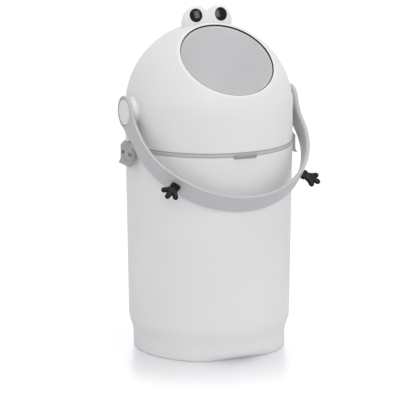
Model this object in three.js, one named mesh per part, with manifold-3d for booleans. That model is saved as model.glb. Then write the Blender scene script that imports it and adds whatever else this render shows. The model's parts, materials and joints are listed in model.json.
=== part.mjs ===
import * as THREE from "three";
import { mergeVertices } from "three/addons/utils/BufferGeometryUtils.js";
import Module from "manifold-3d";

const wasm = await Module();
wasm.setup();

// Nappy bin with a rotating drum in its domed head. Lengths are in millimetres.
// The front is -Y and up is +Z. The origin lies on the floor, on the axis of the round body.

const degrees = THREE.MathUtils.degToRad;

// Body of the bin
const bodyRadius = 126;
const waistTaper = 3.2;
const footInset = 10;
const footTop = 26;
const chamferTop = 45;
const seamHeight = 312;
const wall = 2.5;
const floorThickness = 3;
const footEdge = 1.5;
const toeDepth = 19.5;
const toeHeight = 34;
const toeHalfAngle = degrees(38);
const toeHeightShares = [0.28, 0.54];

// Clearances between pieces, and the overrun of a cut
const seatGap = 0.3;
const runningGap = 0.6;
const overrun = 2;

// Feet
const padRadius = 9;
const padThickness = 1.5;
const padInset = 32;

// Bag ring between body and head
const ringHeight = 6;
const ringWidth = 10;
const skirtThickness = 2.5;
const skirtDepth = 10;
const ringChamfer = 0.8;
const tabWidth = 35;
const tabDrop = 2.4;
const tabProud = 3.4;

// Rear hinge
const hingeOffset = 8;
const knuckleRadius = 6;
const pinRadius = 2;
const headKnuckleWidth = 18;
const sideKnuckleWidth = 8;
const bodyWebDrop = 26;
const headWebRise = 22;

// Head
const pivotRise = 56;
const mouthShare = 0.5675;
const mouthElevation = degrees(51);
const mouthBevel = 1.6;
const bossRadius = 24;
const bossProud = 2.4;

// Drum with its bowl
const drumClearance = 2.7;
const drumWall = 2.4;
const bowlWall = 2;
const bowlDepthShare = 1.0265;
const bowlRimInset = 1.9;
const bowlLipWidth = 1;
const bowlCollarWidth = 3;
const trunnionRadius = 12;
const trunnionFlangeRadius = 20;
const trunnionFlange = 4;
const bushWall = 1.7;
const bushFlangeRadius = 18;
const bushFlange = 0.6;

// Seals
const gasketWidth = 3.6;
const gasketThickness = 1.4;
const floorRingThickness = 3;
const floorRingRise = 1.2;
const sealWidth = 2.6;

// Handle
const handleTilt = degrees(41);
const handleSideGap = 6.5;
const handleThickness = 4.5;
const handleBandWidth = 32.6;
const handleArmNotch = 3.3;
const handleArmFlareShare = 0.8;
const handleNotchEndShare = 3;
const handleArmLength = 51;
const handleFrontGap = 59.5;
const bandChamfer = 1;
const hubRadius = 22.5;
const hubThickness = 9.4;
const hubSkin = 2;
const capRadius = 20.4;
const capThickness = 2.3;
const capChamfer = 0.5;
const screwRadius = 2.6;
const screwHeadRadius = 5.2;
const screwHeadHeight = 1.8;
const screwLength = 14;

// Eyes
const eyeSpacing = 41;
const eyeRadius = 10;
const eyeDrop = 13.5;
const eyeFront = 2;
const eyeLean = degrees(14);
const eyeCrown = 2.6;
const eyeDepth = 4;
const bumpSpacing = 35;
const bumpHalfWidth = 23.6;
const bumpHalfDepth = 9;
const bumpHalfHeight = 25;
const bumpRise = 24.5;

// Hands on the handle
const handAngle = degrees(41.5);
const handLength = 30;
const cuffWidth = 12;
const cuffThickness = 8.6;
const cuffHeight = 5.5;
const palmWidth = 15;
const palmThickness = 6.6;
const fingerRadius = 4.1;
const fingerSpread = degrees(47);

// Side latches
const latchWidth = 42;
const latchPinRise = 5.5;
const latchPinOffset = 5;
const latchPinRadius = 1.5;
const latchEyeRadius = 4.2;
const latchFaceOffset = 10;
const latchLipOffset = 13.8;
const latchWall = 2.6;
const latchLength = 29;
const latchLipHeight = 7;
const latchCheek = 2.5;
const windowWidth = 7;
const windowHeight = 5;
const windowDrop = 11.5;
const windowSpacing = 24;
const lugWidth = 12;
const catchWidth = 18;
const catchDepth = 3;
const catchHeight = 4;
const catchDrop = 20;

// Facets around a turned piece
const shellFacets = 48;
const drumFacets = 32;
const hubFacets = 28;
const bumpFacets = 18;
const smallFacets = 20;
const pinFacets = 12;
const domeSteps = 11;
const ballSteps = 12;
const cupSteps = 7;
const bandSteps = 38;
const weldTolerance = 1e-4;

// Values that follow from the driving sizes
const waistRadius = bodyRadius - waistTaper;
const footRadius = bodyRadius - footInset;
const padCircleRadius = footRadius - padInset;
const ringInnerRadius = bodyRadius - ringWidth;
const ringTop = seamHeight + ringHeight;
const headBase = ringTop + seatGap;
const bodyTop = seamHeight - seatGap;
const headInnerRadius = bodyRadius - wall;
const pivotHeight = seamHeight + pivotRise;
const domeTop = pivotHeight + bodyRadius;
const mouthRadius = bodyRadius * mouthShare;
const drumRadius = headInnerRadius - drumClearance;
const drumInnerRadius = drumRadius - drumWall;
const bowlRimRadius = mouthRadius - bowlRimInset;
const bowlDepth = drumRadius * bowlDepthShare;
const hingeY = bodyRadius + hingeOffset;
const hingeZ = seamHeight + ringHeight / 2;
const latchPinX = bodyRadius + latchPinOffset;
const latchPinHeight = seamHeight + latchPinRise;
const bossFace = bodyRadius + bossProud;
const shaftBoreRadius = trunnionRadius + seatGap;
const hubInnerFace = bossFace + bushFlange + 2 * seatGap;
const hubOuterFace = hubInnerFace + hubThickness;
const handleHalfWidth = bodyRadius + handleSideGap + handleThickness;
const handleReach = bodyRadius + handleFrontGap + handleThickness;
const bumpTop = domeTop + bumpRise;
const eyeHeight = bumpTop - eyeDrop;
const hingeKnuckleStarts = {
  ring: headKnuckleWidth / 2 + runningGap,
  body: headKnuckleWidth / 2 + sideKnuckleWidth + 2 * runningGap,
};

// Solids from closed three.js geometries. Inside-out geometry is turned the right way round.
function toSolid(geometry) {
  const bare = geometry.index ? geometry.toNonIndexed() : geometry.clone();
  bare.deleteAttribute("normal");
  bare.deleteAttribute("uv");
  const merged = mergeVertices(bare, weldTolerance);
  const positions = merged.getAttribute("position").array;
  const triangles = [];
  let volume = 0;
  const corners = [new THREE.Vector3(), new THREE.Vector3(), new THREE.Vector3()];
  for (let i = 0; i < merged.index.count; i += 3) {
    const face = [0, 1, 2].map((k) => merged.index.getX(i + k));
    if (face[0] !== face[1] && face[1] !== face[2] && face[2] !== face[0]) {
      face.forEach((vertex, k) => corners[k].fromArray(positions, vertex * 3));
      volume += corners[0].dot(corners[1].clone().cross(corners[2]));
      triangles.push(face);
    }
  }
  if (volume < 0) {
    triangles.forEach((face) => face.reverse());
  }
  const mesh = new wasm.Mesh({
    numProp: 3,
    vertProperties: new Float32Array(positions),
    triVerts: new Uint32Array(triangles.flat()),
  });
  return new wasm.Manifold(mesh);
}

function toGeometry(solid) {
  const mesh = solid.getMesh();
  const geometry = new THREE.BufferGeometry();
  geometry.setAttribute("position", new THREE.BufferAttribute(mesh.vertProperties, 3));
  geometry.setIndex(new THREE.BufferAttribute(mesh.triVerts, 1));
  geometry.computeVertexNormals();
  return geometry;
}

function joined(...solids) {
  return solids.reduce((sum, solid) => sum.add(solid));
}

// A piece turned about the Z axis from a profile of [radius, height] points.
function turned(profile, facets = smallFacets) {
  const points = profile.map(([radius, height]) => new THREE.Vector2(radius, height));
  return new THREE.LatheGeometry(points, facets).rotateX(Math.PI / 2);
}

function closedProfile(profile) {
  return [...profile, profile[0]];
}

// The same, turned about the X axis. A profile point is then [radius, x].
function turnedAlongX(profile, facets = smallFacets) {
  return turned(profile, facets).rotateY(Math.PI / 2);
}

function rodAlongX(radius, fromX, toX, facets = smallFacets) {
  return turnedAlongX([[0, fromX], [radius, fromX], [radius, toX], [0, toX]], facets);
}

function rodAlongZ(radius, fromZ, toZ, facets = smallFacets) {
  return turned([[0, fromZ], [radius, fromZ], [radius, toZ], [0, toZ]], facets);
}

function rodAlongY(radius, fromY, toY, facets = smallFacets) {
  return rodAlongZ(radius, fromY, toY, facets).rotateX(-Math.PI / 2);
}

function block(fromX, toX, fromY, toY, fromZ, toZ) {
  const box = new THREE.BoxGeometry(toX - fromX, toY - fromY, toZ - fromZ);
  return box.translate((fromX + toX) / 2, (fromY + toY) / 2, (fromZ + toZ) / 2);
}

function outline(points) {
  return new THREE.Shape(points.map(([across, up]) => new THREE.Vector2(across, up)));
}

// An outline of [y, z] points, extruded along X.
function prismAlongX(points, fromX, toX) {
  const prism = new THREE.ExtrudeGeometry(outline(points), { depth: toX - fromX, bevelEnabled: false });
  const toYZ = new THREE.Matrix4().makeBasis(
    new THREE.Vector3(0, 1, 0), new THREE.Vector3(0, 0, 1), new THREE.Vector3(1, 0, 0));
  return prism.applyMatrix4(toYZ).translate(fromX, 0, 0);
}

// An outline of [x, z] points, extruded along Y.
function prismAlongY(points, fromY, toY) {
  const prism = new THREE.ExtrudeGeometry(outline(points), { depth: toY - fromY, bevelEnabled: false });
  return prism.rotateX(Math.PI / 2).translate(0, toY, 0);
}

// An arc of points about a centre, from one angle to another in radians.
function arcPoints(centreA, centreB, radius, from, to, steps) {
  return Array.from({ length: steps + 1 }, (_, k) => {
    const angle = from + (to - from) * k / steps;
    return [centreA + radius * Math.cos(angle), centreB + radius * Math.sin(angle)];
  });
}

// A closed skin over rings that have the same number of points, with a fan at each end.
function loft(rings) {
  const count = rings[0].length;
  const vertices = rings.flat();
  const faces = [];
  for (let level = 0; level < rings.length - 1; level += 1) {
    for (let k = 0; k < count; k += 1) {
      const here = level * count + k;
      const next = level * count + (k + 1) % count;
      faces.push(here, next, next + count, here, next + count, here + count);
    }
  }
  for (const level of [0, rings.length - 1]) {
    const centre = rings[level].reduce((sum, point) => sum.add(point), new THREE.Vector3());
    vertices.push(centre.divideScalar(count));
    for (let k = 0; k < count; k += 1) {
      const here = level * count + k;
      const next = level * count + (k + 1) % count;
      const fan = level === 0 ? [vertices.length - 1, next, here] : [vertices.length - 1, here, next];
      faces.push(...fan);
    }
  }
  const geometry = new THREE.BufferGeometry().setFromPoints(vertices);
  geometry.setIndex(faces);
  return geometry;
}

function between(from, to, share) {
  return from + (to - from) * share;
}

function smooth(share) {
  const t = THREE.MathUtils.clamp(share, 0, 1);
  return t * t * (3 - 2 * t);
}

// Material of a mesh. The finish is colour, roughness and metalness.
const finishes = {
  whitePlastic: { color: 0xe6e6e8, roughness: 0.42, metalness: 0 },
  greyPlastic: { color: 0xaeaeae, roughness: 0.45, metalness: 0 },
  bowlPlastic: { color: 0xd6d8da, roughness: 0.4, metalness: 0 },
  blackPlastic: { color: 0x1c1c1e, roughness: 0.25, metalness: 0 },
  blackRubber: { color: 0x222223, roughness: 0.55, metalness: 0 },
  sealRubber: { color: 0x3a322c, roughness: 0.7, metalness: 0 },
  acetal: { color: 0xf2f0ea, roughness: 0.35, metalness: 0 },
  steel: { color: 0xb9bcc0, roughness: 0.3, metalness: 1 },
};

function part(name, solid, finish) {
  const mesh = new THREE.Mesh(toGeometry(solid), new THREE.MeshStandardMaterial(finishes[finish]));
  mesh.name = name;
  return mesh;
}

// Body of the bin: an open-topped shell with a tapered wall, a narrower foot and a toe recess

function outerRadius(height) {
  if (height <= footTop) {
    return footRadius;
  }
  if (height <= chamferTop) {
    return between(footRadius, waistRadius, (height - footTop) / (chamferTop - footTop));
  }
  return between(waistRadius, bodyRadius, (height - chamferTop) / (bodyTop - chamferTop));
}

// How far the toe recess goes in, at an angle from the front and a height
function toeInset(angle, height) {
  const turn = Math.abs(THREE.MathUtils.euclideanModulo(angle + Math.PI, 2 * Math.PI) - Math.PI);
  if (turn >= toeHalfAngle) {
    return 0;
  }
  const across = (1 + Math.cos(Math.PI * turn / toeHalfAngle)) / 2;
  return toeDepth * across * smooth(1 - height / toeHeight);
}

function bodyRing(height, inset) {
  return Array.from({ length: shellFacets }, (_, k) => {
    const angle = 2 * Math.PI * k / shellFacets;
    const radius = outerRadius(height) - inset - toeInset(angle, height);
    return new THREE.Vector3(radius * Math.sin(angle), -radius * Math.cos(angle), height);
  });
}

function bodyShell() {
  const toeHeights = toeHeightShares.map((share) => share * toeHeight);
  const sideHeights = [...toeHeights, footTop, toeHeight, chamferTop, bodyTop];
  const outside = [bodyRing(0, footEdge), ...[footEdge, ...sideHeights].map((height) => bodyRing(height, 0))];
  const inside = [floorThickness, ...sideHeights].reverse().map((height) => bodyRing(height, wall));
  return toSolid(loft([...outside, ...inside]));
}

// A hinge knuckle: a round eye about the hinge line, with a web to the wall behind it
function knuckle(rootPoints, fromAngle, toAngle, fromX, toX) {
  const eye = arcPoints(hingeY, hingeZ, knuckleRadius, fromAngle, toAngle, smallFacets / 2);
  return toSolid(prismAlongX([...eye, ...rootPoints], fromX, toX));
}

function hingeBore() {
  const reach = hingeKnuckleStarts.body + sideKnuckleWidth + overrun;
  const bore = rodAlongX(pinRadius + seatGap, -reach, reach, pinFacets);
  return toSolid(bore.translate(0, hingeY, hingeZ));
}

// Y of the middle of the wall behind a knuckle
function wallMiddleY(radius, x) {
  return Math.sqrt(radius ** 2 - x ** 2) - wall / 2;
}

function bodyKnuckle(side) {
  const near = hingeKnuckleStarts.body;
  const [fromX, toX] = side > 0 ? [near, near + sideKnuckleWidth] : [-near - sideKnuckleWidth, -near];
  const rootY = wallMiddleY(bodyRadius, (fromX + toX) / 2);
  const rootPoints = [
    [rootY, bodyTop - knuckleRadius / 2],
    [rootY, hingeZ - bodyWebDrop],
  ];
  return knuckle(rootPoints, degrees(-25), degrees(200), fromX, toX);
}

// A ledge for the side latch, on the +X side
function latchCatch() {
  const top = latchPinHeight - catchDrop;
  const rootX = bodyRadius - wall / 2;
  const tipX = bodyRadius + catchDepth;
  const ledge = [
    [rootX, top - catchHeight],
    [tipX, top - catchHeight / 2],
    [tipX, top],
    [rootX, top + catchDepth / 2],
  ];
  return toSolid(prismAlongY(ledge, -catchWidth / 2, catchWidth / 2));
}

const halfTurn = [0, 0, 180];

const footCorners = [
  { name: "front_right_foot", angle: degrees(-45) },
  { name: "rear_right_foot", angle: degrees(45) },
  { name: "rear_left_foot", angle: degrees(135) },
  { name: "front_left_foot", angle: degrees(225) },
];

function footPlace(angle) {
  return [padCircleRadius * Math.cos(angle), padCircleRadius * Math.sin(angle), 0];
}

function binBody() {
  const recesses = footCorners.map(({ angle }) => {
    const recess = rodAlongZ(padRadius + seatGap, -overrun, padThickness + seatGap);
    return toSolid(recess.translate(...footPlace(angle)));
  });
  const shell = joined(
    bodyShell(), bodyKnuckle(-1), bodyKnuckle(1), latchCatch(), latchCatch().rotate(halfTurn));
  return part("bin_body", shell.subtract(joined(...recesses)).subtract(hingeBore()), "whitePlastic");
}

function footPad({ name, angle }) {
  const pad = part(name, toSolid(rodAlongZ(padRadius, 0, padThickness)), "blackRubber");
  pad.position.set(...footPlace(angle));
  return pad;
}

// Grey ring between body and head. It holds the bag by its skirt and lifts by its front tab.

function arcBand(innerRadius, outerRadius, halfAngle, fromZ, toZ) {
  const middle = -Math.PI / 2;
  const steps = smallFacets / 4;
  const band = [
    ...arcPoints(0, 0, outerRadius, middle - halfAngle, middle + halfAngle, steps),
    ...arcPoints(0, 0, innerRadius, middle + halfAngle, middle - halfAngle, steps),
  ];
  const geometry = new THREE.ExtrudeGeometry(outline(band), { depth: toZ - fromZ, bevelEnabled: false });
  return toSolid(geometry.translate(0, 0, fromZ));
}

function ringKnuckle(side) {
  const near = hingeKnuckleStarts.ring;
  const [fromX, toX] = side > 0 ? [near, near + sideKnuckleWidth] : [-near - sideKnuckleWidth, -near];
  const flare = Math.asin(ringHeight / 2 / knuckleRadius);
  const rootY = (bodyRadius + ringInnerRadius) / 2;
  return knuckle([[rootY, ringTop], [rootY, seamHeight]], -Math.PI + flare, Math.PI - flare, fromX, toX);
}

function bagRing() {
  const skirtRadius = ringInnerRadius + skirtThickness;
  const skirtFoot = seamHeight - skirtDepth;
  const ring = turned(closedProfile([
    [ringInnerRadius, skirtFoot],
    [skirtRadius, skirtFoot],
    [skirtRadius, seamHeight],
    [bodyRadius - ringChamfer, seamHeight],
    [bodyRadius, seamHeight + ringChamfer],
    [bodyRadius, ringTop - ringChamfer],
    [bodyRadius - ringChamfer, ringTop],
    [ringInnerRadius, ringTop],
  ]), shellFacets);
  const tabAngle = tabWidth / 2 / bodyRadius;
  const tabFront = bodyRadius + tabProud;
  const tabTop = ringTop - ringChamfer;
  const solid = joined(
    toSolid(ring),
    arcBand(bodyRadius + runningGap, tabFront, tabAngle, seamHeight - tabDrop, tabTop),
    arcBand(bodyRadius - wall, tabFront, tabAngle, seamHeight, tabTop),
    ringKnuckle(-1),
    ringKnuckle(1),
  );
  return part("bag_ring", solid.subtract(hingeBore()), "greyPlastic");
}

function hingePin() {
  const reach = hingeKnuckleStarts.body + sideKnuckleWidth;
  const pin = part("hinge_pin", toSolid(rodAlongX(pinRadius, -reach, reach, pinFacets)), "steel");
  pin.position.set(0, hingeY, hingeZ);
  return pin;
}

// Head: a dome on a short cylinder, with the mouth, the hub bosses and the lugs of the latches

const mouthTurn = Math.PI / 2 - mouthElevation;
const mouthEdge = Math.sqrt(bodyRadius ** 2 - mouthRadius ** 2);

// A solid made about the mouth's axis with the drum's centre at zero, put into the head
function aboutMouth(geometry) {
  return toSolid(geometry.rotateX(mouthTurn).translate(0, 0, pivotHeight));
}

function mouthCutter() {
  const bevelStart = mouthEdge - mouthBevel;
  const top = bodyRadius + overrun;
  return aboutMouth(turned([
    [0, mouthEdge - mouthRadius / 2],
    [mouthRadius, mouthEdge - mouthRadius / 2],
    [mouthRadius, bevelStart],
    [mouthRadius + top - bevelStart, top],
    [0, top],
  ], shellFacets));
}

function domeShell() {
  const outer = arcPoints(0, pivotHeight, bodyRadius, 0, Math.PI / 2, domeSteps);
  const inner = arcPoints(0, pivotHeight, headInnerRadius, Math.PI / 2, 0, domeSteps);
  return toSolid(turned(closedProfile([
    [headInnerRadius, headBase], [bodyRadius, headBase], ...outer, ...inner,
  ]), shellFacets));
}

// What the dome's skin encloses above the pivot, for cutting what stands on it
function domeSolid(radius) {
  return toSolid(turned([
    [0, pivotHeight], ...arcPoints(0, pivotHeight, radius, 0, Math.PI / 2, domeSteps),
  ], shellFacets));
}

function hubBoss(side) {
  const root = Math.sqrt((bodyRadius - wall / 2) ** 2 - bossRadius ** 2);
  const boss = rodAlongX(bossRadius, root, bossFace, hubFacets);
  return toSolid((side > 0 ? boss : boss.rotateZ(Math.PI)).translate(0, 0, pivotHeight));
}

function headKnuckle() {
  const rootY = bodyRadius - wall / 2;
  const rootPoints = [[rootY, headBase + headWebRise], [rootY, headBase + wall]];
  return knuckle(rootPoints, degrees(-200), degrees(40), -headKnuckleWidth / 2, headKnuckleWidth / 2);
}

function latchPinBore() {
  const bore = rodAlongY(latchPinRadius + seatGap, -latchWidth, latchWidth, pinFacets);
  return toSolid(bore.translate(latchPinX, 0, latchPinHeight));
}

// The lug that carries the latch, on the +X side
function latchLug() {
  const radius = latchEyeRadius - 2 * seatGap;
  const rootX = bodyRadius - wall / 2;
  const eye = arcPoints(latchPinX, latchPinHeight, radius, degrees(162), degrees(450), pinFacets);
  const web = [[rootX, latchPinHeight + radius], [rootX, eye[0][1]]];
  const lug = toSolid(prismAlongY([...eye, ...web], -lugWidth / 2, lugWidth / 2));
  return lug.subtract(latchPinBore());
}

function headShell() {
  const bore = rodAlongX(shaftBoreRadius + bushWall + seatGap, -bossFace - overrun, bossFace + overrun);
  const solid = joined(
    domeShell(), hubBoss(-1), hubBoss(1), headKnuckle(), latchLug(), latchLug().rotate(halfTurn));
  const cuts = joined(mouthCutter(), toSolid(bore.translate(0, 0, pivotHeight)));
  return part("head_shell", solid.subtract(cuts).subtract(hingeBore()), "whitePlastic");
}

// Seals of the drum: a ring under the head's floor ring, and a gasket behind the edge of the mouth

// Radius of the drum's sphere, plus a clearance, at a height in the head
function drumRadiusAt(height, clearance) {
  return Math.sqrt((drumRadius + clearance) ** 2 - (pivotHeight - height) ** 2);
}

const floorRingBase = headBase + floorRingRise;
const floorRingTop = floorRingBase + floorRingThickness;
const sealOuterRadius = drumRadiusAt(floorRingTop, runningGap) + sealWidth;

function headFloor() {
  const ring = turned(closedProfile([
    [sealOuterRadius + seatGap, floorRingBase],
    [headInnerRadius - seatGap, floorRingBase],
    [headInnerRadius - seatGap, floorRingTop],
    [sealOuterRadius + seatGap, floorRingTop],
  ]), drumFacets);
  return part("head_floor", toSolid(ring), "whitePlastic");
}

function drumSeal() {
  const ring = turned(closedProfile([
    [drumRadiusAt(floorRingBase, runningGap), floorRingBase],
    [sealOuterRadius, floorRingBase],
    [sealOuterRadius, floorRingTop],
    [drumRadiusAt(floorRingTop, runningGap), floorRingTop],
  ]), drumFacets);
  return part("drum_seal", toSolid(ring), "sealRubber");
}

// Distance from the drum's centre to a sphere's surface, at a radius about the mouth's axis
function sphereHeight(sphereRadius, radius) {
  return Math.sqrt(sphereRadius ** 2 - radius ** 2);
}

function mouthGasket() {
  const inner = mouthRadius - gasketWidth / 3;
  const outer = inner + gasketWidth;
  const lower = drumRadius + (headInnerRadius - drumRadius - gasketThickness) / 2;
  const upper = lower + gasketThickness;
  const ring = turned(closedProfile([
    [inner, sphereHeight(lower, inner)],
    [outer, sphereHeight(lower, outer)],
    [outer, sphereHeight(upper, outer)],
    [inner, sphereHeight(upper, inner)],
  ]), shellFacets);
  return part("mouth_gasket", toSolid(ring), "sealRubber");
}

// Drum: a hollow ball, open at the bowl, that turns on two trunnions. Made about the mouth's axis.

function drumShell() {
  const opening = bowlRimRadius + seatGap;
  const outerStart = Math.acos(opening / drumRadius);
  const innerStart = Math.acos(opening / drumInnerRadius);
  const shell = toSolid(turned(closedProfile([
    ...arcPoints(0, 0, drumRadius, -Math.PI / 2, outerStart, ballSteps),
    ...arcPoints(0, 0, drumInnerRadius, innerStart, -Math.PI / 2, ballSteps),
  ]), drumFacets));
  const reach = drumRadius + overrun;
  const bore = toSolid(rodAlongX(shaftBoreRadius, -reach, reach));
  return part("drum_shell", shell.subtract(bore), "whitePlastic");
}

function drumBowl() {
  const rimInner = bowlRimRadius - bowlLipWidth;
  const collarRadius = bowlRimRadius + bowlCollarWidth;
  const underShell = drumInnerRadius - runningGap;
  const rimTop = sphereHeight(drumRadius, rimInner);
  const collarTop = sphereHeight(underShell, collarRadius);
  const cup = (radius, depth) => Array.from({ length: cupSteps + 1 }, (_, k) => {
    const angle = Math.PI / 2 * k / cupSteps;
    return [radius * Math.cos(angle), rimTop - depth * Math.sin(angle)];
  });
  const inside = cup(rimInner, bowlDepth).reverse();
  const outside = cup(rimInner + bowlWall, bowlDepth + bowlWall)
    .filter(([, height]) => height < collarTop - bowlWall);
  const bowl = turned([
    ...inside,
    [bowlRimRadius, sphereHeight(drumRadius, bowlRimRadius)],
    [bowlRimRadius, sphereHeight(underShell, bowlRimRadius)],
    [collarRadius, collarTop],
    [collarRadius, collarTop - bowlWall],
    ...outside,
  ], drumFacets);
  return part("drum_bowl", toSolid(bowl), "bowlPlastic");
}

// Bearings: each trunnion is flanged inside the drum, runs in a bush and carries a handle hub

const capSeat = hubOuterFace - capThickness - seatGap;
const shaftEnd = capSeat - screwHeadHeight - 2 * seatGap - hubSkin;
const screwSeat = shaftEnd + seatGap + hubSkin;

function onSide(mesh, side) {
  mesh.rotation.z = side.turn;
  return mesh;
}

const sides = [
  { name: "left", turn: Math.PI, sign: -1 },
  { name: "right", turn: 0, sign: 1 },
];

function trunnion(side) {
  const flangeFace = sphereHeight(drumInnerRadius, trunnionFlangeRadius) - 2 * runningGap;
  const holeRadius = screwRadius + seatGap;
  const holeFoot = shaftEnd - screwLength - seatGap;
  const profile = [
    [0, flangeFace - trunnionFlange],
    [trunnionFlangeRadius, flangeFace - trunnionFlange],
    [trunnionFlangeRadius, flangeFace],
    [trunnionRadius, flangeFace],
    [trunnionRadius, shaftEnd],
    [holeRadius, shaftEnd],
    [holeRadius, holeFoot],
    [0, holeFoot],
  ];
  return onSide(part(`${side.name}_trunnion`, toSolid(turnedAlongX(profile)), "acetal"), side);
}

function bush(side) {
  const outer = shaftBoreRadius + bushWall;
  const bossRoot = Math.sqrt((bodyRadius - wall / 2) ** 2 - bossRadius ** 2);
  const flangeStart = bossFace + seatGap;
  const profile = closedProfile([
    [shaftBoreRadius, bossRoot],
    [outer, bossRoot],
    [outer, flangeStart],
    [bushFlangeRadius, flangeStart],
    [bushFlangeRadius, flangeStart + bushFlange],
    [shaftBoreRadius, flangeStart + bushFlange],
  ]);
  return onSide(part(`${side.name}_bush`, toSolid(turnedAlongX(profile)), "acetal"), side);
}

// Handle: a band bent round the front, that widens to a hub at each end.
// It is made flat in the XY plane with the hubs on the X axis.

// A place on the band's outer face: at zero it is the right hub, at one the left hub
function bandPoint(share) {
  const armShare = handleArmLength / (2 * handleArmLength + Math.PI * handleHalfWidth);
  const endX = (t) => between(hubOuterFace, handleHalfWidth, t);
  if (share < armShare) {
    const t = share / armShare;
    return new THREE.Vector3(endX(t), -handleArmLength * t, 0);
  }
  if (share > 1 - armShare) {
    const t = (1 - share) / armShare;
    return new THREE.Vector3(-endX(t), -handleArmLength * t, 0);
  }
  return bandArcPoint(Math.PI * (share - armShare) / (1 - 2 * armShare));
}

function bandArcPoint(angle) {
  const bow = handleReach - handleArmLength;
  const y = -handleArmLength - bow * Math.sin(angle);
  return new THREE.Vector3(handleHalfWidth * Math.cos(angle), y, 0);
}

function bandSection(share) {
  const step = 1 / shellFacets ** 2;
  const outer = bandPoint(share);
  const along = bandPoint(Math.min(share + step, 1)).sub(bandPoint(Math.max(share - step, 0))).normalize();
  const inward = new THREE.Vector3(along.y, -along.x, 0);
  if (inward.dot(outer) > 0) {
    inward.negate();
  }
  const hubHalf = hubRadius - bandChamfer;
  const arms = -outer.y / handleArmLength;
  const notch = handleArmNotch * smooth(handleNotchEndShare - arms);
  const lower = -between(hubHalf, handleBandWidth / 2, smooth(arms));
  const upper = between(hubHalf, handleBandWidth / 2 - notch, smooth(arms / handleArmFlareShare));
  const foot = lower + bandChamfer;
  const rim = upper - bandChamfer;
  const depth = handleThickness;
  const corners = [
    [bandChamfer, lower], [0, foot], [0, rim], [bandChamfer, upper],
    [depth - bandChamfer, upper], [depth, rim], [depth, foot], [depth - bandChamfer, lower],
  ];
  return corners.map(([deep, up]) => outer.clone().addScaledVector(inward, deep).setZ(up));
}

function handleHub(side) {
  const hub = turnedAlongX([
    [0, hubInnerFace],
    [hubRadius, hubInnerFace],
    [hubRadius, hubOuterFace - capChamfer],
    [hubRadius - capChamfer, hubOuterFace],
    [0, hubOuterFace],
  ], hubFacets);
  return toSolid(hub.rotateZ(side.turn));
}

function hubCuts(side) {
  const headRadius = screwHeadRadius + seatGap;
  const cuts = turnedAlongX([
    [0, hubInnerFace - overrun],
    [shaftBoreRadius, hubInnerFace - overrun],
    [shaftBoreRadius, shaftEnd + seatGap],
    [screwRadius + seatGap, shaftEnd + seatGap],
    [screwRadius + seatGap, screwSeat],
    [headRadius, screwSeat],
    [headRadius, capSeat],
    [capRadius + seatGap, capSeat],
    [capRadius + seatGap, hubOuterFace + overrun],
    [0, hubOuterFace + overrun],
  ]);
  return toSolid(cuts.rotateZ(side.turn));
}

function handle() {
  const stations = Array.from({ length: bandSteps + 1 }, (_, k) => bandSection(k / bandSteps));
  const band = toSolid(loft(stations));
  const hubs = sides.map(handleHub);
  const cuts = sides.map(hubCuts);
  return part("handle", joined(band, ...hubs).subtract(joined(...cuts)), "greyPlastic");
}

function hubScrew(side) {
  const headStart = screwSeat + seatGap;
  const profile = [
    [0, shaftEnd - screwLength],
    [screwRadius, shaftEnd - screwLength],
    [screwRadius, headStart],
    [screwHeadRadius, headStart],
    [screwHeadRadius, headStart + screwHeadHeight],
    [0, headStart + screwHeadHeight],
  ];
  return onSide(part(`${side.name}_hub_screw`, toSolid(turnedAlongX(profile, pinFacets)), "steel"), side);
}

function hubCap(side) {
  const profile = [
    [0, capSeat + seatGap],
    [capRadius, capSeat + seatGap],
    [capRadius, hubOuterFace - capChamfer],
    [capRadius - capChamfer, hubOuterFace],
    [0, hubOuterFace],
  ];
  const cap = toSolid(turnedAlongX(profile, hubFacets));
  return onSide(part(`${side.name}_hub_cap`, cap, "whitePlastic"), side);
}

// Hands: a cuff, a palm and three round fingers, standing on the band's outer face

function roundedRing(width, thickness, height) {
  const halfWidth = width / 2;
  const halfThickness = thickness / 2;
  const cut = halfThickness / 2;
  const corners = [
    [halfWidth, -halfThickness + cut], [halfWidth, halfThickness - cut],
    [halfWidth - cut, halfThickness], [-halfWidth + cut, halfThickness],
    [-halfWidth, halfThickness - cut], [-halfWidth, -halfThickness + cut],
    [-halfWidth + cut, -halfThickness], [halfWidth - cut, -halfThickness],
  ];
  return corners.map(([x, y]) => new THREE.Vector3(x, y, height));
}

function finger(turn) {
  const rootShare = 0.36;
  const root = handLength * rootShare;
  const reach = handLength - root - fingerRadius - (turn === 0 ? 0 : fingerRadius / 2);
  const capsule = new THREE.CapsuleGeometry(fingerRadius, reach, pinFacets / 4, pinFacets * 2 / 3);
  return toSolid(capsule.translate(0, reach / 2, 0).rotateX(Math.PI / 2).rotateY(turn).translate(0, 0, root));
}

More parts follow.
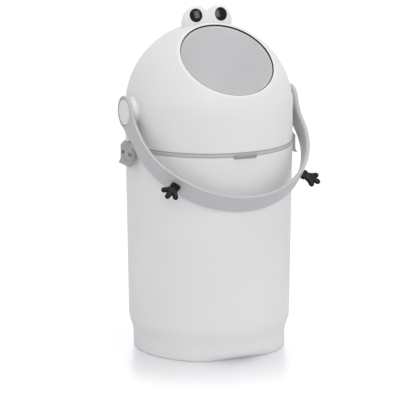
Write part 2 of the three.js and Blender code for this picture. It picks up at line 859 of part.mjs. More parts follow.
function hand(side) {
  const neckShare = 0.8;
  const neck = cuffWidth * neckShare;
  const knuckleLine = cuffHeight + palmWidth / 2;
  const palm = toSolid(loft([
    roundedRing(cuffWidth, cuffThickness, 0),
    roundedRing(cuffWidth, cuffThickness, cuffHeight - seatGap),
    roundedRing(neck, palmThickness, cuffHeight + seatGap),
    roundedRing(palmWidth, palmThickness, knuckleLine),
    roundedRing(palmWidth * neckShare, palmThickness * neckShare, knuckleLine + fingerRadius),
  ]));
  const solid = joined(palm, finger(-fingerSpread), finger(0), finger(fingerSpread));
  const mesh = part(`${side.name}_hand`, solid, "blackRubber");
  const angle = side.sign > 0 ? handAngle : Math.PI - handAngle;
  const bow = handleReach - handleArmLength;
  const outward = new THREE.Vector3(bow * Math.cos(angle), -handleHalfWidth * Math.sin(angle), 0).normalize();
  const flatSide = new THREE.Vector3(0, 0, 1);
  const across = new THREE.Vector3().crossVectors(flatSide, outward);
  mesh.quaternion.setFromRotationMatrix(new THREE.Matrix4().makeBasis(across, flatSide, outward));
  mesh.position.copy(bandArcPoint(angle).addScaledVector(outward, seatGap));
  return mesh;
}

// Eyes on top of the dome: one white housing with two bumps, and a black eye in each

function ellipsoid(halfX, halfY, halfZ, x, y, z) {
  const ball = new THREE.SphereGeometry(1, bumpFacets, bumpFacets / 2);
  return toSolid(ball.rotateX(Math.PI / 2).scale(halfX, halfY, halfZ).translate(x, y, z));
}

// An eye lies about its own Z axis, with its back at zero
function eyeSolid(radius, crown) {
  const sphere = (radius ** 2 + crown ** 2) / (2 * crown);
  const span = Math.asin(radius / sphere);
  const centre = eyeDepth + crown - sphere;
  const front = arcPoints(0, centre, sphere, Math.PI / 2 - span, Math.PI / 2, pinFacets / 4);
  return toSolid(turned([[0, 0], [radius, 0], ...front]));
}

// Puts a solid or mesh made about the eye's axis into its place
function eyePlace(side) {
  const place = new THREE.Matrix4().makeTranslation(side.sign * eyeSpacing / 2, eyeFront, eyeHeight);
  place.multiply(new THREE.Matrix4().makeRotationX(Math.PI / 2 - eyeLean));
  return place.multiply(new THREE.Matrix4().makeTranslation(0, 0, -eyeDepth));
}

function eyeHousing() {
  const backY = eyeFront + bumpHalfDepth - eyeCrown;
  const bumpZ = bumpTop - bumpHalfHeight;
  const bumps = sides.map(({ sign }) => (
    ellipsoid(bumpHalfWidth, bumpHalfDepth, bumpHalfHeight, sign * bumpSpacing / 2, backY, bumpZ)
  ));
  const recesses = sides.map((side) => {
    const recess = rodAlongZ(eyeRadius + seatGap, -seatGap, eyeDepth + bumpHalfDepth);
    return toSolid(recess.applyMatrix4(eyePlace(side)));
  });
  const cuts = joined(domeSolid(bodyRadius + seatGap), ...recesses);
  return part("eye_housing", joined(...bumps).subtract(cuts), "whitePlastic");
}

function eye(side) {
  const mesh = part(`${side.name}_eye`, eyeSolid(eyeRadius, eyeCrown), "blackPlastic");
  mesh.applyMatrix4(eyePlace(side));
  return mesh;
}

// Side latches, made on the +X side: a hollow cover that turns on a pin at its top

function latchSolid() {
  const faceX = bodyRadius + latchFaceOffset;
  const backX = faceX - latchWall;
  const lipX = bodyRadius + latchLipOffset;
  const foot = latchPinHeight - latchLength;
  const lipStart = foot + latchLipHeight;
  const shoulder = latchPinHeight - latchEyeRadius;
  const edge = latchWall / 2;
  const eye = arcPoints(latchPinX, latchPinHeight, latchEyeRadius, degrees(125), degrees(230), pinFacets / 2);
  const cover = [
    ...eye,
    [backX, shoulder - latchWall],
    [backX, lipStart],
    [lipX - latchWall, foot],
    [lipX, foot + edge],
    [faceX, lipStart + edge],
    [faceX, shoulder],
  ];
  const cheekX = bodyRadius + latchWall;
  const cheek = [
    [cheekX, shoulder],
    [cheekX, lipStart + edge],
    [backX + edge, lipStart],
    [backX + edge, shoulder],
  ];
  const half = latchWidth / 2;
  const hook = block(
    bodyRadius + catchDepth + seatGap, backX + edge, -catchWidth / 2, catchWidth / 2,
    lipStart - latchWall, lipStart + edge / 2);
  const solid = joined(
    toSolid(prismAlongY(cover, -half, half)),
    toSolid(prismAlongY(cheek, -half, -half + latchCheek)),
    toSolid(prismAlongY(cheek, half - latchCheek, half)),
    toSolid(hook),
  );
  const slotHalf = lugWidth / 2 + runningGap;
  const slotReach = latchEyeRadius + seatGap;
  const slot = block(
    latchPinX - slotReach - overrun, latchPinX + slotReach, -slotHalf, slotHalf,
    latchPinHeight - slotReach, latchPinHeight + slotReach + overrun);
  const windowTop = latchPinHeight - windowDrop + windowHeight / 2;
  const windows = sides.map(({ sign }) => {
    const y = sign * windowSpacing / 2;
    return toSolid(block(
      backX - overrun, faceX + overrun, y - windowWidth / 2, y + windowWidth / 2,
      windowTop - windowHeight, windowTop));
  });
  return solid.subtract(joined(toSolid(slot), ...windows)).subtract(latchPinBore());
}

function latch(side) {
  return onSide(part(`${side.name}_latch`, latchSolid(), "greyPlastic"), side);
}

function latchPin(side) {
  const reach = (latchWidth - latchPinRadius) / 2;
  const pin = rodAlongY(latchPinRadius, -reach, reach, pinFacets).translate(latchPinX, 0, latchPinHeight);
  return onSide(part(`${side.name}_latch_pin`, toSolid(pin), "steel"), side);
}

// Assembly. The drum's group has its origin on the pivot line.

function aboutPivot(turn, ...meshes) {
  const group = new THREE.Group();
  group.position.z = pivotHeight;
  group.rotation.x = turn;
  group.add(...meshes);
  return group;
}

const nappyBin = new THREE.Group();
nappyBin.name = "nappy_bin";
nappyBin.add(
  binBody(),
  ...footCorners.map(footPad),
  hingePin(),
  bagRing(),
  headShell(),
  headFloor(),
  drumSeal(),
  eyeHousing(),
  ...sides.map(eye),
  ...sides.map(latch),
  ...sides.map(latchPin),
  aboutPivot(mouthTurn, mouthGasket(), drumShell(), drumBowl()),
  aboutPivot(0, ...sides.map(bush), ...sides.map(trunnion)),
  aboutPivot(handleTilt, handle(), ...sides.map(hubScrew), ...sides.map(hubCap), ...sides.map(hand)),
);

export default nappyBin;
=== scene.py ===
"""Nappy bin with a turning drum in its domed head: its detailed pieces, finishes and stage."""

import json
import math

import bmesh
import bpy
import numpy as np
from bpy.props import FloatProperty, FloatVectorProperty, PointerProperty
from bpy.types import Operator, Panel, PropertyGroup
from mathutils import Matrix, Vector


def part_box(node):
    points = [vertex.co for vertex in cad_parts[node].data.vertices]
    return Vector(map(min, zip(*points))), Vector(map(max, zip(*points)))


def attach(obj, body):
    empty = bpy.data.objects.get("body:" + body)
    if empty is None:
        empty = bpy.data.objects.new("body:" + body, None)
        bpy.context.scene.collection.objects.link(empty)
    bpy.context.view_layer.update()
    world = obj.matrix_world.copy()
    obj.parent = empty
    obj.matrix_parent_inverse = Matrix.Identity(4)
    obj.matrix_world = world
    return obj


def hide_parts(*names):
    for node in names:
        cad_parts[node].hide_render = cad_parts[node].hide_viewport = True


bl_info = {
    "name": "Nappy Bin",
    "version": (1, 0, 0),
    "blender": (4, 5, 0),
    "location": "3D View > Sidebar > Nappy Bin",
    "description": "Dresses the nappy bin's frame with its pieces, finishes and stage",
    "category": "Add Mesh",
}

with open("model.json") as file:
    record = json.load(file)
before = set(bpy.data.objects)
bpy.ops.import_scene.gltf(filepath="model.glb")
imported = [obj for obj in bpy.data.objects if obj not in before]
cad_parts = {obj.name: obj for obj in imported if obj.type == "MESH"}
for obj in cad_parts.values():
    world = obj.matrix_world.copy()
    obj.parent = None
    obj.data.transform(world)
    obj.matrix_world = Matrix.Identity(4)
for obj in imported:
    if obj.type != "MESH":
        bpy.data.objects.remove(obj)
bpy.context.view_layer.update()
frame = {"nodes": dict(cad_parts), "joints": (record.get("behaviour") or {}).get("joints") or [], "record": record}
PLACES = {joint["name"]: Vector(joint["pos_m"]) for joint in frame["joints"]}
PIVOT = PLACES["drum_turn"]
HINGE = PLACES["ring_lift"]
LATCH_PIN = PLACES["right_latch_swing"]
BODY_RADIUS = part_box("bag_ring")[1].x
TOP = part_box("eye_housing")[1].z

MM = 0.001
SEAT_GAP = 0.3 * MM
RUNNING_GAP = 0.6 * MM
SHELL_SIDES = 256
DRUM_SIDES = 192
TURNED_SIDES = 96
HOLE_SIDES = 64
PIN_SIDES = 48
FLOOR_WIDTH = 12
ROOT_SHARE = 0.8  # of a wall's thickness, which is how deep a knuckle is rooted in it
FLARE_SHARE = 0.8  # of an arm's length, where the band's upper edge has left the hub
NOTCH_END_SHARE = 3  # in arm lengths from the hubs, where the band has its full width
SIDES = {"left": -1, "right": 1}
SIDE_TURNS = {1: Matrix(), -1: Matrix.Rotation(math.pi, 4, "Z")}
ALONG = {"X": Matrix.Rotation(math.pi / 2, 4, "Y"), "Y": Matrix.Rotation(-math.pi / 2, 4, "X"),
         "Z": Matrix()}
AT_PIVOT = Matrix.Translation(PIVOT)
AT_HINGE = Matrix.Translation(HINGE)
AT_LATCH = Matrix.Translation(LATCH_PIN)


def length(name, millimetres, description):
    return FloatProperty(name=name, description=description, default=millimetres * MM,
                         unit="LENGTH", precision=4)


def angle(name, degrees, description):
    return FloatProperty(name=name, description=description, default=math.radians(degrees),
                         unit="ROTATION")


def factor(name, default, description):
    return FloatProperty(name=name, description=description, default=default,
                         min=0, max=1, subtype="FACTOR")


def strength(name, default, description):
    return FloatProperty(name=name, description=description, default=default, min=0)


def colour(name, red, green, blue, description):
    return FloatVectorProperty(name=name, description=description, size=3, subtype="COLOR",
                               default=(red, green, blue), min=0, max=1)


class BodySizes(PropertyGroup):
    """Sizes of the bin's body and of the bag ring on its rim."""
    waist_taper: length("Waist taper", 3.2, "How much narrower the wall is above the foot")
    foot_inset: length("Foot inset", 10, "How much narrower the foot is than the rim")
    foot_top: length("Foot top", 26, "Height at which the foot starts to widen")
    chamfer_top: length("Chamfer top", 45, "Height at which the foot meets the wall")
    seam: length("Seam height", 312, "Height of the ring's underside")
    wall: length("Wall", 2.5, "Thickness of the moulded walls")
    floor: length("Floor", 3, "Thickness of the floor")
    foot_bend: length("Foot bend", 36, "Radius where the foot starts to widen")
    waist_bend: length("Waist bend", 50, "Radius where the foot meets the wall")
    toe_depth: length("Toe depth", 11, "How far the toe recess goes in")
    toe_height: length("Toe height", 9, "Height of the toe recess")
    toe_spread: angle("Toe spread", 38, "Half the angle that the toe recess spans")
    ring_height: length("Ring height", 6, "Visible height of the bag ring")
    ring_width: length("Ring width", 10, "Width of the bag ring from outside to inside")
    skirt_wall: length("Skirt wall", 2.5, "Thickness of the ring's skirt")
    skirt_depth: length("Skirt depth", 10, "How far the ring's skirt hangs into the body")
    tab_width: length("Tab width", 35, "Width of the ring's front tab")
    tab_rise: length("Tab rise", 2.6, "How far the tab reaches up on the ring")
    tab_drop: length("Tab drop", 2.8, "How far the tab hangs below the ring")
    tab_proud: length("Tab proud", 4, "How far the tab stands out")
    pad_radius: length("Pad radius", 9, "Radius of a rubber foot pad")
    pad_thickness: length("Pad thickness", 1.5, "Thickness of a rubber foot pad")
    pad_inset: length("Pad inset", 32, "Distance of a pad's centre from the foot's wall")


class HingeSizes(PropertyGroup):
    """Sizes of the rear hinge."""
    pin_radius: length("Pin radius", 2, "Radius of the hinge pin")
    knuckle_radius: length("Knuckle radius", 6, "Radius of a knuckle")
    head_width: length("Head knuckle width", 18, "Width of the head's knuckle in the middle")
    side_width: length("Side knuckle width", 8, "Width of a knuckle of the ring or of the body")
    body_web: length("Body web", 26, "How far the body's webs reach below the pin")
    head_web: length("Head web", 22, "How far the head's web reaches up the wall")


class HeadSizes(PropertyGroup):
    """Sizes of the domed head, its mouth, the drum and the seals."""
    mouth_radius: length("Mouth radius", 71.5, "Radius of the mouth's opening")
    mouth_tilt: angle("Mouth elevation", 51, "How far up the mouth faces")
    mouth_round: length("Mouth rounding", 6.5, "Radius of the mouth's soft edge")
    boss_spread: length("Boss spread", 5, "Width of the soft blend from a hub's boss to the dome")
    boss_proud: length("Boss proud", 2.4, "How far the boss stands out")
    drum_gap: length("Drum gap", 2.7, "Gap between the head's inside and the drum")
    drum_wall: length("Drum wall", 2.4, "Thickness of the drum's wall")
    bowl_wall: length("Bowl wall", 2, "Thickness of the bowl's wall")
    bowl_depth: length("Bowl depth", 124, "Depth of the bowl below its rim")
    bowl_inset: length("Bowl inset", 1.9, "How much narrower the bowl's rim is than the mouth")
    lip: length("Bowl lip", 1, "Width of the bowl's lip")
    collar: length("Bowl collar", 3, "How far the bowl's collar reaches under the drum")
    rim_depth: length("Rim depth", 6.5, "Depth of the white rim inside the bowl")
    shaft_radius: length("Shaft radius", 12, "Radius of the trunnions")
    bush_wall: length("Bush wall", 1.7, "Thickness of a bearing bush")
    boss_wall: length("Boss wall", 1.7, "Thickness of a boss's wall")
    seal_width: length("Seal width", 2.6, "Width of the seal round the drum")
    gasket_width: length("Gasket width", 3.6, "Width of the mouth's gasket")
    gasket_thickness: length("Gasket thickness", 1.4, "Thickness of the mouth's gasket")


class HandleSizes(PropertyGroup):
    """Sizes of the bow handle with its hubs and hands."""
    tilt: angle("Handle tilt", 41, "How far the handle hangs down at rest")
    side_gap: length("Side gap", 5, "Gap between the band and the head")
    front_gap: length("Front gap", 57.5, "Gap between the band and the body at the front")
    arm: length("Arm length", 51, "Length of the straight arms")
    thickness: length("Thickness", 6, "Thickness of the band")
    width: length("Band width", 32.6, "Width of the band")
    notch: length("Arm notch", 3.3, "How much lower the band's upper edge is along the arms")
    edge: length("Edge rounding", 0.8, "Radius along the band's outer edges")
    inner_edge: length("Inner edge rounding", 3.6, "Radius along the band's inner edges")
    hub_radius: length("Hub radius", 24.4, "Radius of a hub")
    hub_thickness: length("Hub thickness", 9.4, "Thickness of a hub")
    spacer_step: length("Spacer step", 6, "How much smaller the hub's white inner part is")
    cap_radius: length("Cap radius", 20.2, "Radius of a hub's cap")
    hub_gap: length("Hub gap", 1.2, "Gap between a hub and its boss, with the bush's flange")
    cap_thickness: length("Cap thickness", 2.3, "Thickness of a hub's cap")
    screw_radius: length("Screw radius", 2.6, "Radius of a hub's screw")
    screw_head: length("Screw head", 5.2, "Radius of a screw's head")
    screw_head_height: length("Screw head height", 1.8, "Height of a screw's head")
    hub_skin: length("Hub skin", 2, "Thickness of the hub under a screw's head")
    hand_angle: angle("Hand angle", 41.5, "Where the hands stand on the band")
    hand_length: length("Hand length", 30, "Length of a hand from the band to its fingertips")
    cuff_width: length("Cuff width", 14.5, "Width of a hand's cuff")
    cuff_thickness: length("Cuff thickness", 8.6, "Thickness of a hand's cuff")
    cuff_height: length("Cuff height", 6, "Height of a hand's cuff")
    palm_width: length("Palm width", 17, "Width of a hand's palm")
    finger_radius: length("Finger radius", 4.1, "Radius of a finger")
    groove_radius: length("Groove radius", 1.9, "Radius of a finger's groove")
    finger_spread: angle("Finger spread", 47, "Angle between two fingers")


class EyeSizes(PropertyGroup):
    """Sizes of the eyes on top of the head."""
    spacing: length("Spacing", 41, "Distance between the eyes")
    radius: length("Radius", 10, "Radius of a black eye")
    drop: length("Eye drop", 13.5, "Height of the bumps above the eyes' middle")
    front: length("Front", 2, "Distance of the eyes behind the head's axis")
    lean: angle("Lean", 14, "How far up the eyes look")
    toe_out: angle("Toe-out", 1.4, "How far each eye looks outwards")
    crown: length("Crown", 2.6, "How far an eye stands out of the bump")
    bulge: length("Bulge", 0.35, "How far an eye's front bulges")
    depth: length("Depth", 4, "Depth of an eye in its socket")
    bump_spacing: length("Bump spacing", 35, "Distance between the bumps")
    half_width: length("Bump half width", 23.6, "Half the width of a bump")
    half_depth: length("Bump half depth", 9, "Half the depth of a bump")
    half_height: length("Bump half height", 25, "Half the height of a bump")


class LatchSizes(PropertyGroup):
    """Sizes of the side latches."""
    width: length("Width", 42, "Width of a latch")
    face: length("Face offset", 10, "Distance of the latch's face from the body")
    lip: length("Lip offset", 13.8, "Distance of the lip's edge from the body")
    wall: length("Wall", 2.6, "Thickness of the latch's cover")
    drop: length("Length", 29, "Length of a latch below its pin")
    lip_height: length("Lip height", 7, "Height of the hook above the latch's foot")
    flare_height: length("Flare height", 10, "Height of the flared lip")
    pin_radius: length("Pin radius", 1.5, "Radius of the latch's pin")
    eye_radius: length("Eye radius", 4.5, "Radius of the latch's eye about its pin")
    slope: length("Slope", 2.4, "Distance of the latch's sloping top from its pin")
    slope_angle: angle("Slope angle", 43.1524, "How far the sloping top is from upright")
    lug_width: length("Lug width", 10, "Width of the lug that carries the latch")
    lug_radius: length("Lug radius", 4, "Radius of the lug about the pin")
    cheek: length("Cheek", 2.5, "Thickness of a cheek")
    cheek_gap: length("Cheek gap", 4.4, "Gap between the latch's cheeks and the body")
    window_width: length("Window width", 12, "Width of a window")
    window_height: length("Window height", 5, "Height of a window")
    window_drop: length("Window drop", 11.5, "Distance of the windows below the pin")
    window_spacing: length("Window spacing", 24, "Distance between the windows")
    window_shift: length("Window shift", 2, "How far the windows stand towards the front")
    ledge_width: length("Ledge width", 18, "Width of the body's ledge and of the latch's hook")
    ledge_depth: length("Ledge depth", 3, "How far the ledge stands out of the body")
    ledge_height: length("Ledge height", 4, "Height of the ledge at the body")
    ledge_drop: length("Ledge drop", 20, "Distance of the ledge below the latch's pin")


class FinishSettings(PropertyGroup):
    """Colours and gloss of the bin's finishes."""
    white: colour("White", 0.813, 0.81, 0.808, "Moulded body, head and drum")
    grey: colour("Grey", 0.535, 0.53, 0.54, "Handle and bag ring")
    # This darker colour also goes on the bag ring's tab, where it is painted shade for the shade under the tab.
    latch: colour("Latch", 0.375, 0.368, 0.366, "Side latches and their lugs")
    bowl: colour("Bowl", 0.81, 0.813, 0.818, "Inside of the drum's bowl")
    black: colour("Black", 0.004, 0.004, 0.004, "Eyes")
    rubber: colour("Rubber", 0.005, 0.005, 0.0055, "Hands and foot pads")
    seal: colour("Seal", 0.085, 0.045, 0.02, "Gasket and drum seal")
    bearing: colour("Bearing", 0.8, 0.79, 0.75, "Trunnions and bushes")
    steel: colour("Steel", 0.62, 0.63, 0.65, "Pins and screws")
    satin: factor("Satin roughness", 0.42, "Roughness of the moulded plastic")
    grain: length("Grain size", 0.7, "Size of the moulded plastic's fine grain")


class StageSettings(PropertyGroup):
    """Camera, lamps and floor."""
    lens: FloatProperty(name="Lens", description="Focal length of the camera",
                        default=186.6, unit="CAMERA")
    turn: angle("Camera turn", 25, "How far the camera stands to the left of the front")
    pitch: angle("Camera pitch", 12.54, "How far the camera looks down")
    distance: length("Camera distance", 3202, "Level distance of the camera from the bin's axis")
    height: length("Camera height", 922, "Height of the camera")
    shift: FloatProperty(name="Shift", description="Sideways shift of the frame",
                         default=-0.0024, subtype="FACTOR")
    top: strength("Top light", 9.9, "Power of the large lamp overhead")
    front: strength("Front light", 3.9, "Power of the small lamp in front")
    low: strength("Low light", 1, "Power of the low lamp at the right")
    wide: strength("Wide light", 12, "Power of the wide lamp at the left")
    sky: strength("Sky light", 0.735, "Strength of the even light from all round")
    floor: colour("Floor", 0.84, 0.835, 0.855, "Colour of the floor")
    glow: strength("Glow", 1.45, "Brightness of what the camera sees as white")
    floor_glow: factor("Floor glow", 0.5, "Share of the floor that the camera sees as white")
    mirror: factor("Mirror", 0.85, "How strongly the floor mirrors the bin at its foot")
    mirror_reach: length("Mirror reach", 330, "Distance from the bin's axis where the mirror ends")


# Meshes

def smooth(share):
    """Rises softly from zero to one."""
    t = min(max(share, 0), 1)
    return t * t * (3 - 2 * t)


def arc(centre, radius, start, end, steps):
    """Points on an arc in a plane, from one angle to another."""
    turn = np.linspace(start, end, steps + 1)
    return np.column_stack((centre[0] + radius * np.cos(turn), centre[1] + radius * np.sin(turn)))


def rounded(corners, steps=6):
    """A closed outline of (across, up, radius) corners, each turned on its own radius."""
    points = []
    for k, (across, up, radius) in enumerate(corners):
        here = np.array((across, up))
        if radius <= 0:
            points.append(here)
            continue
        before = np.array(corners[k - 1][:2]) - here
        after = np.array(corners[(k + 1) % len(corners)][:2]) - here
        before /= np.linalg.norm(before)
        after /= np.linalg.norm(after)
        half = math.acos(np.clip(before @ after, -1, 1)) / 2
        bisector = (before + after) / np.linalg.norm(before + after)
        middle = here + bisector * radius / math.sin(half)
        start = here + before * radius / math.tan(half) - middle
        end = here + after * radius / math.tan(half) - middle
        turn = math.atan2(start[0] * end[1] - start[1] * end[0], start @ end)
        for step in range(steps + 1):
            cosine, sine = math.cos(turn * step / steps), math.sin(turn * step / steps)
            points.append(middle + (cosine * start[0] - sine * start[1],
                                    sine * start[0] + cosine * start[1]))
    return np.array(points)


def resampled(points, spacing):
    """The same open outline with extra points, so that no stretch is longer than the spacing."""
    made = []
    for start, end in zip(points[:-1], points[1:]):
        count = max(1, math.ceil(np.linalg.norm(end - start) / spacing))
        made.extend(start + (end - start) * k / count for k in range(count))
    return np.array([*made, points[-1]])


def add_object(name, mesh):
    piece = bpy.data.objects.new(name, mesh)
    bpy.context.scene.collection.objects.link(piece)
    return piece


def cleaned(mesh):
    """Merges doubles, drops faces without area and turns all the faces outwards."""
    work = bmesh.new()
    work.from_mesh(mesh)
    bmesh.ops.remove_doubles(work, verts=work.verts, dist=1e-7)
    bmesh.ops.dissolve_degenerate(work, edges=work.edges, dist=1e-7)
    bmesh.ops.recalc_face_normals(work, faces=work.faces)
    work.to_mesh(mesh)
    work.free()
    return mesh


def skin(name, rings, closed=False, capped=False):
    """A skin over rings of equally many points. Rings that shrink to a point become poles."""
    rows, columns = len(rings), len(rings[0])
    faces = []
    if capped:
        faces += [tuple(range(columns)), tuple(reversed(range((rows - 1) * columns, rows * columns)))]
    for row in range(rows if closed else rows - 1):
        low, high = row * columns, (row + 1) % rows * columns
        for here in range(columns):
            there = (here + 1) % columns
            faces.append((low + here, low + there, high + there, high + here))
    mesh = bpy.data.meshes.new(name)
    mesh.from_pydata(np.concatenate(rings).tolist(), [], faces)
    return add_object(name, cleaned(mesh))


def revolved(name, profile, sides=TURNED_SIDES, closed=True):
    """Turns a profile of (radius, height) points about the Z axis."""
    turn = np.linspace(0, math.tau, sides, endpoint=False)
    rings = [np.column_stack((radius * np.cos(turn), radius * np.sin(turn), np.full(sides, height)))
             for radius, height in profile]
    return skin(name, rings, closed)


def prism(name, outline, start, end, axis, bevel=0.0):
    """An outline of (across, up) points extruded along X or Y, with its rims rounded off."""
    def place(point, depth):
        across, up = point
        return (depth, across, up) if axis == "X" else (across, depth, up)
    work = bmesh.new()
    ends = [[work.verts.new(place(point, depth)) for point in outline] for depth in (start, end)]
    caps = [work.faces.new(ends[0]), work.faces.new(list(reversed(ends[1])))]
    count = len(outline)
    for k in range(count):
        after = (k + 1) % count
        work.faces.new((ends[0][k], ends[0][after], ends[1][after], ends[1][k]))
    if bevel:
        rims = {edge for cap in caps for edge in cap.edges}
        bmesh.ops.bevel(work, geom=list(rims), offset=bevel, segments=3, profile=0.5,
                        affect="EDGES", clamp_overlap=True)
    bmesh.ops.recalc_face_normals(work, faces=work.faces)
    mesh = bpy.data.meshes.new(name)
    work.to_mesh(mesh)
    work.free()
    return add_object(name, mesh)


def box(name, low, high):
    """A plain block, used to cut with."""
    outline = [(low[1], low[2]), (high[1], low[2]), (high[1], high[2]), (low[1], high[2])]
    return prism(name, outline, low[0], high[0], "X")


def moved(piece, *steps):
    """Moves a piece's mesh by one matrix after another."""
    for step in steps:
        piece.data.transform(step)
    return piece


def rod(name, radius, start, end, axis, sides=TURNED_SIDES, chamfer=0.0):
    """A turned rod along X, Y or Z, with its ends softened."""
    profile = [(0, start, 0), (radius, start, chamfer), (radius, end, chamfer), (0, end, 0)]
    return moved(revolved(name, rounded(profile, 4), sides, closed=False), ALONG[axis])


def ball(name, half_sizes, centre):
    """An ellipsoid, used to join or cut with."""
    work = bmesh.new()
    bmesh.ops.create_uvsphere(work, u_segments=128, v_segments=64, radius=1)
    mesh = bpy.data.meshes.new(name)
    work.to_mesh(mesh)
    work.free()
    mesh.transform(Matrix.Translation(centre) @ Matrix.Diagonal((*half_sizes, 1)))
    return add_object(name, mesh)


def settle(piece):
    """Turns a piece with its modifiers into a plain mesh."""
    evaluated = piece.evaluated_get(bpy.context.evaluated_depsgraph_get())
    mesh = bpy.data.meshes.new_from_object(evaluated)
    piece.modifiers.clear()
    old, piece.data = piece.data, mesh
    bpy.data.meshes.remove(old)
    mesh.name = piece.name
    return piece


def combined(piece, others, operation="UNION"):
    """Joins or cuts a piece with others, which are then gone."""
    for other in others:
        modifier = piece.modifiers.new(other.name, "BOOLEAN")
        modifier.operation = operation
        modifier.solver = "EXACT"
        modifier.object = other
    settle(piece)
    for other in others:
        bpy.data.objects.remove(other)
    return piece


def cut(piece, others):
    return combined(piece, others, "DIFFERENCE")


def remeshed(piece, voxel, rounds):
    """One even skin over joined forms, with the creases between them softened."""
    remesh = piece.modifiers.new("skin", "REMESH")
    remesh.mode = "VOXEL"
    remesh.voxel_size = voxel
    soften = piece.modifiers.new("soften", "SMOOTH")
    soften.factor = 0.5
    soften.iterations = rounds
    return settle(piece)


def joined(name, pieces):
    """One object of several meshes."""
    work = bmesh.new()
    for piece in pieces:
        work.from_mesh(piece.data)
        bpy.data.objects.remove(piece)
    mesh = bpy.data.meshes.new(name)
    work.to_mesh(mesh)
    work.free()
    return add_object(name, mesh)


def finished(piece, body, finish, nodes, sharp=35):
    """Gives a piece its finish, soft shading, body and the nodes that it stands for."""
    mesh = piece.data
    mesh.materials.clear()
    mesh.materials.append(look_of(finish))
    mesh.polygons.foreach_set("use_smooth", [True] * len(mesh.polygons))
    mesh.polygons.foreach_set("material_index", [0] * len(mesh.polygons))
    mesh.set_sharp_from_angle(angle=math.radians(sharp))
    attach(piece, body)
    if nodes:
        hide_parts(*nodes)
    return piece


# Geometry node trees

def fill(tree, node, values):
    """Gives a node's inputs a value each, or a link from another node's output."""
    for key, value in values.items():
        if isinstance(value, bpy.types.NodeSocket):
            tree.links.new(value, node.inputs[key])
        else:
            node.inputs[key].default_value = value
    return node


def add_node(tree, kind, values=None, **settings):
    """A new node with its settings and its inputs."""
    node = tree.nodes.new(kind)
    for key, value in settings.items():
        setattr(node, key, value)
    return fill(tree, node, values or {})


def new_tree(name, sockets):
    """A geometry node tree with the named inputs and one for the material."""
    tree = bpy.data.node_groups.new(name, "GeometryNodeTree")
    tree.interface.new_socket("Geometry", in_out="OUTPUT", socket_type="NodeSocketGeometry")
    for label, kind in {"Geometry": "Geometry", **sockets, "Material": "Material"}.items():
        tree.interface.new_socket(label, in_out="INPUT", socket_type=f"NodeSocket{kind}")
    return tree, tree.nodes.new("NodeGroupInput").outputs


def ended(tree, last, material):
    """Closes a tree with Realize Instances and Set Material."""
    real = add_node(tree, "GeometryNodeRealizeInstances", {"Geometry": last})
    paint = add_node(tree, "GeometryNodeSetMaterial", {
        "Geometry": real.outputs["Geometry"], "Material": material})
    add_node(tree, "NodeGroupOutput", {"Geometry": paint.outputs["Geometry"]})
    return tree


def swept_ring_tree():
    """Sweeps a closed outline of edges round a circle."""
    tree, given = new_tree("Swept ring", {"Radius": "Float", "Sides": "Int"})
    outline = add_node(tree, "GeometryNodeMeshToCurve", {"Mesh": given["Geometry"]})
    path = add_node(tree, "GeometryNodeCurvePrimitiveCircle", {
        "Radius": given["Radius"], "Resolution": given["Sides"]})
    sweep = add_node(tree, "GeometryNodeCurveToMesh", {
        "Curve": path.outputs["Curve"], "Profile Curve": outline.outputs["Curve"]})
    return ended(tree, sweep.outputs["Mesh"], given["Material"])


def round_of_pads_tree():
    """Sets copies of one pad on the corners of a circle."""
    tree, given = new_tree("Round of pads", {"Radius": "Float", "Count": "Int"})
    circle = add_node(tree, "GeometryNodeMeshCircle", {
        "Radius": given["Radius"], "Vertices": given["Count"]})
    turned = add_node(tree, "GeometryNodeTransform", {
        "Geometry": circle.outputs["Mesh"], "Rotation": (0, 0, math.pi / 4)})
    copies = add_node(tree, "GeometryNodeInstanceOnPoints", {
        "Points": turned.outputs["Geometry"], "Instance": given["Geometry"]})
    return ended(tree, copies.outputs["Instances"], given["Material"])


def grown(piece, tree, values):
    """Runs a tree on a piece with its named inputs set, and keeps the result as a plain mesh."""
    modifier = piece.modifiers.new(tree.name, "NODES")
    modifier.node_group = tree
    for item in tree.interface.items_tree:
        if item.item_type == "SOCKET" and item.in_out == "INPUT" and item.name in values:
            modifier[item.identifier] = values[item.name]
    settle(piece)
    cleaned(piece.data)
    return piece


def swept_ring(name, outline, finish):
    """A ring with an outline of (radius, height) points, swept round the Z axis."""
    middle = sum(radius for radius, _ in outline) / len(outline)
    mesh = bpy.data.meshes.new(name)
    points = [(radius - middle, -height, 0) for radius, height in outline]
    mesh.from_pydata(points, [(k, (k + 1) % len(points)) for k in range(len(points))], [])
    tree = bpy.data.node_groups.get("Swept ring") or swept_ring_tree()
    piece = add_object(name, mesh)
    return grown(piece, tree, {
        "Radius": middle, "Sides": SHELL_SIDES, "Material": look_of(finish)})


# Finishes

def look_of(finish):
    """The material made here for a finish; the frame has plain ones under the finishes' own names."""
    return bpy.data.materials["look_" + finish]


def new_material(name):
    material = bpy.data.materials.new("look_" + name)
    material.use_nodes = True
    return material, material.node_tree, material.node_tree.nodes["Principled BSDF"]


def noise(tree, scale, detail, stretch=(1, 1, 1)):
    """Noise on object coordinates."""
    place = add_node(tree, "ShaderNodeTexCoord").outputs["Object"]
    stretched = add_node(tree, "ShaderNodeMapping", {"Vector": place, "Scale": stretch})
    return add_node(tree, "ShaderNodeTexNoise", {
        "Vector": stretched.outputs["Vector"], "Scale": scale, "Detail": detail}).outputs["Fac"]


def ranged(tree, value, low, high):
    """A value of noise spread over a range."""
    return add_node(tree, "ShaderNodeMapRange", {
        "Value": value, "From Min": 0.3, "From Max": 0.7,
        "To Min": low, "To Max": high}).outputs["Result"]


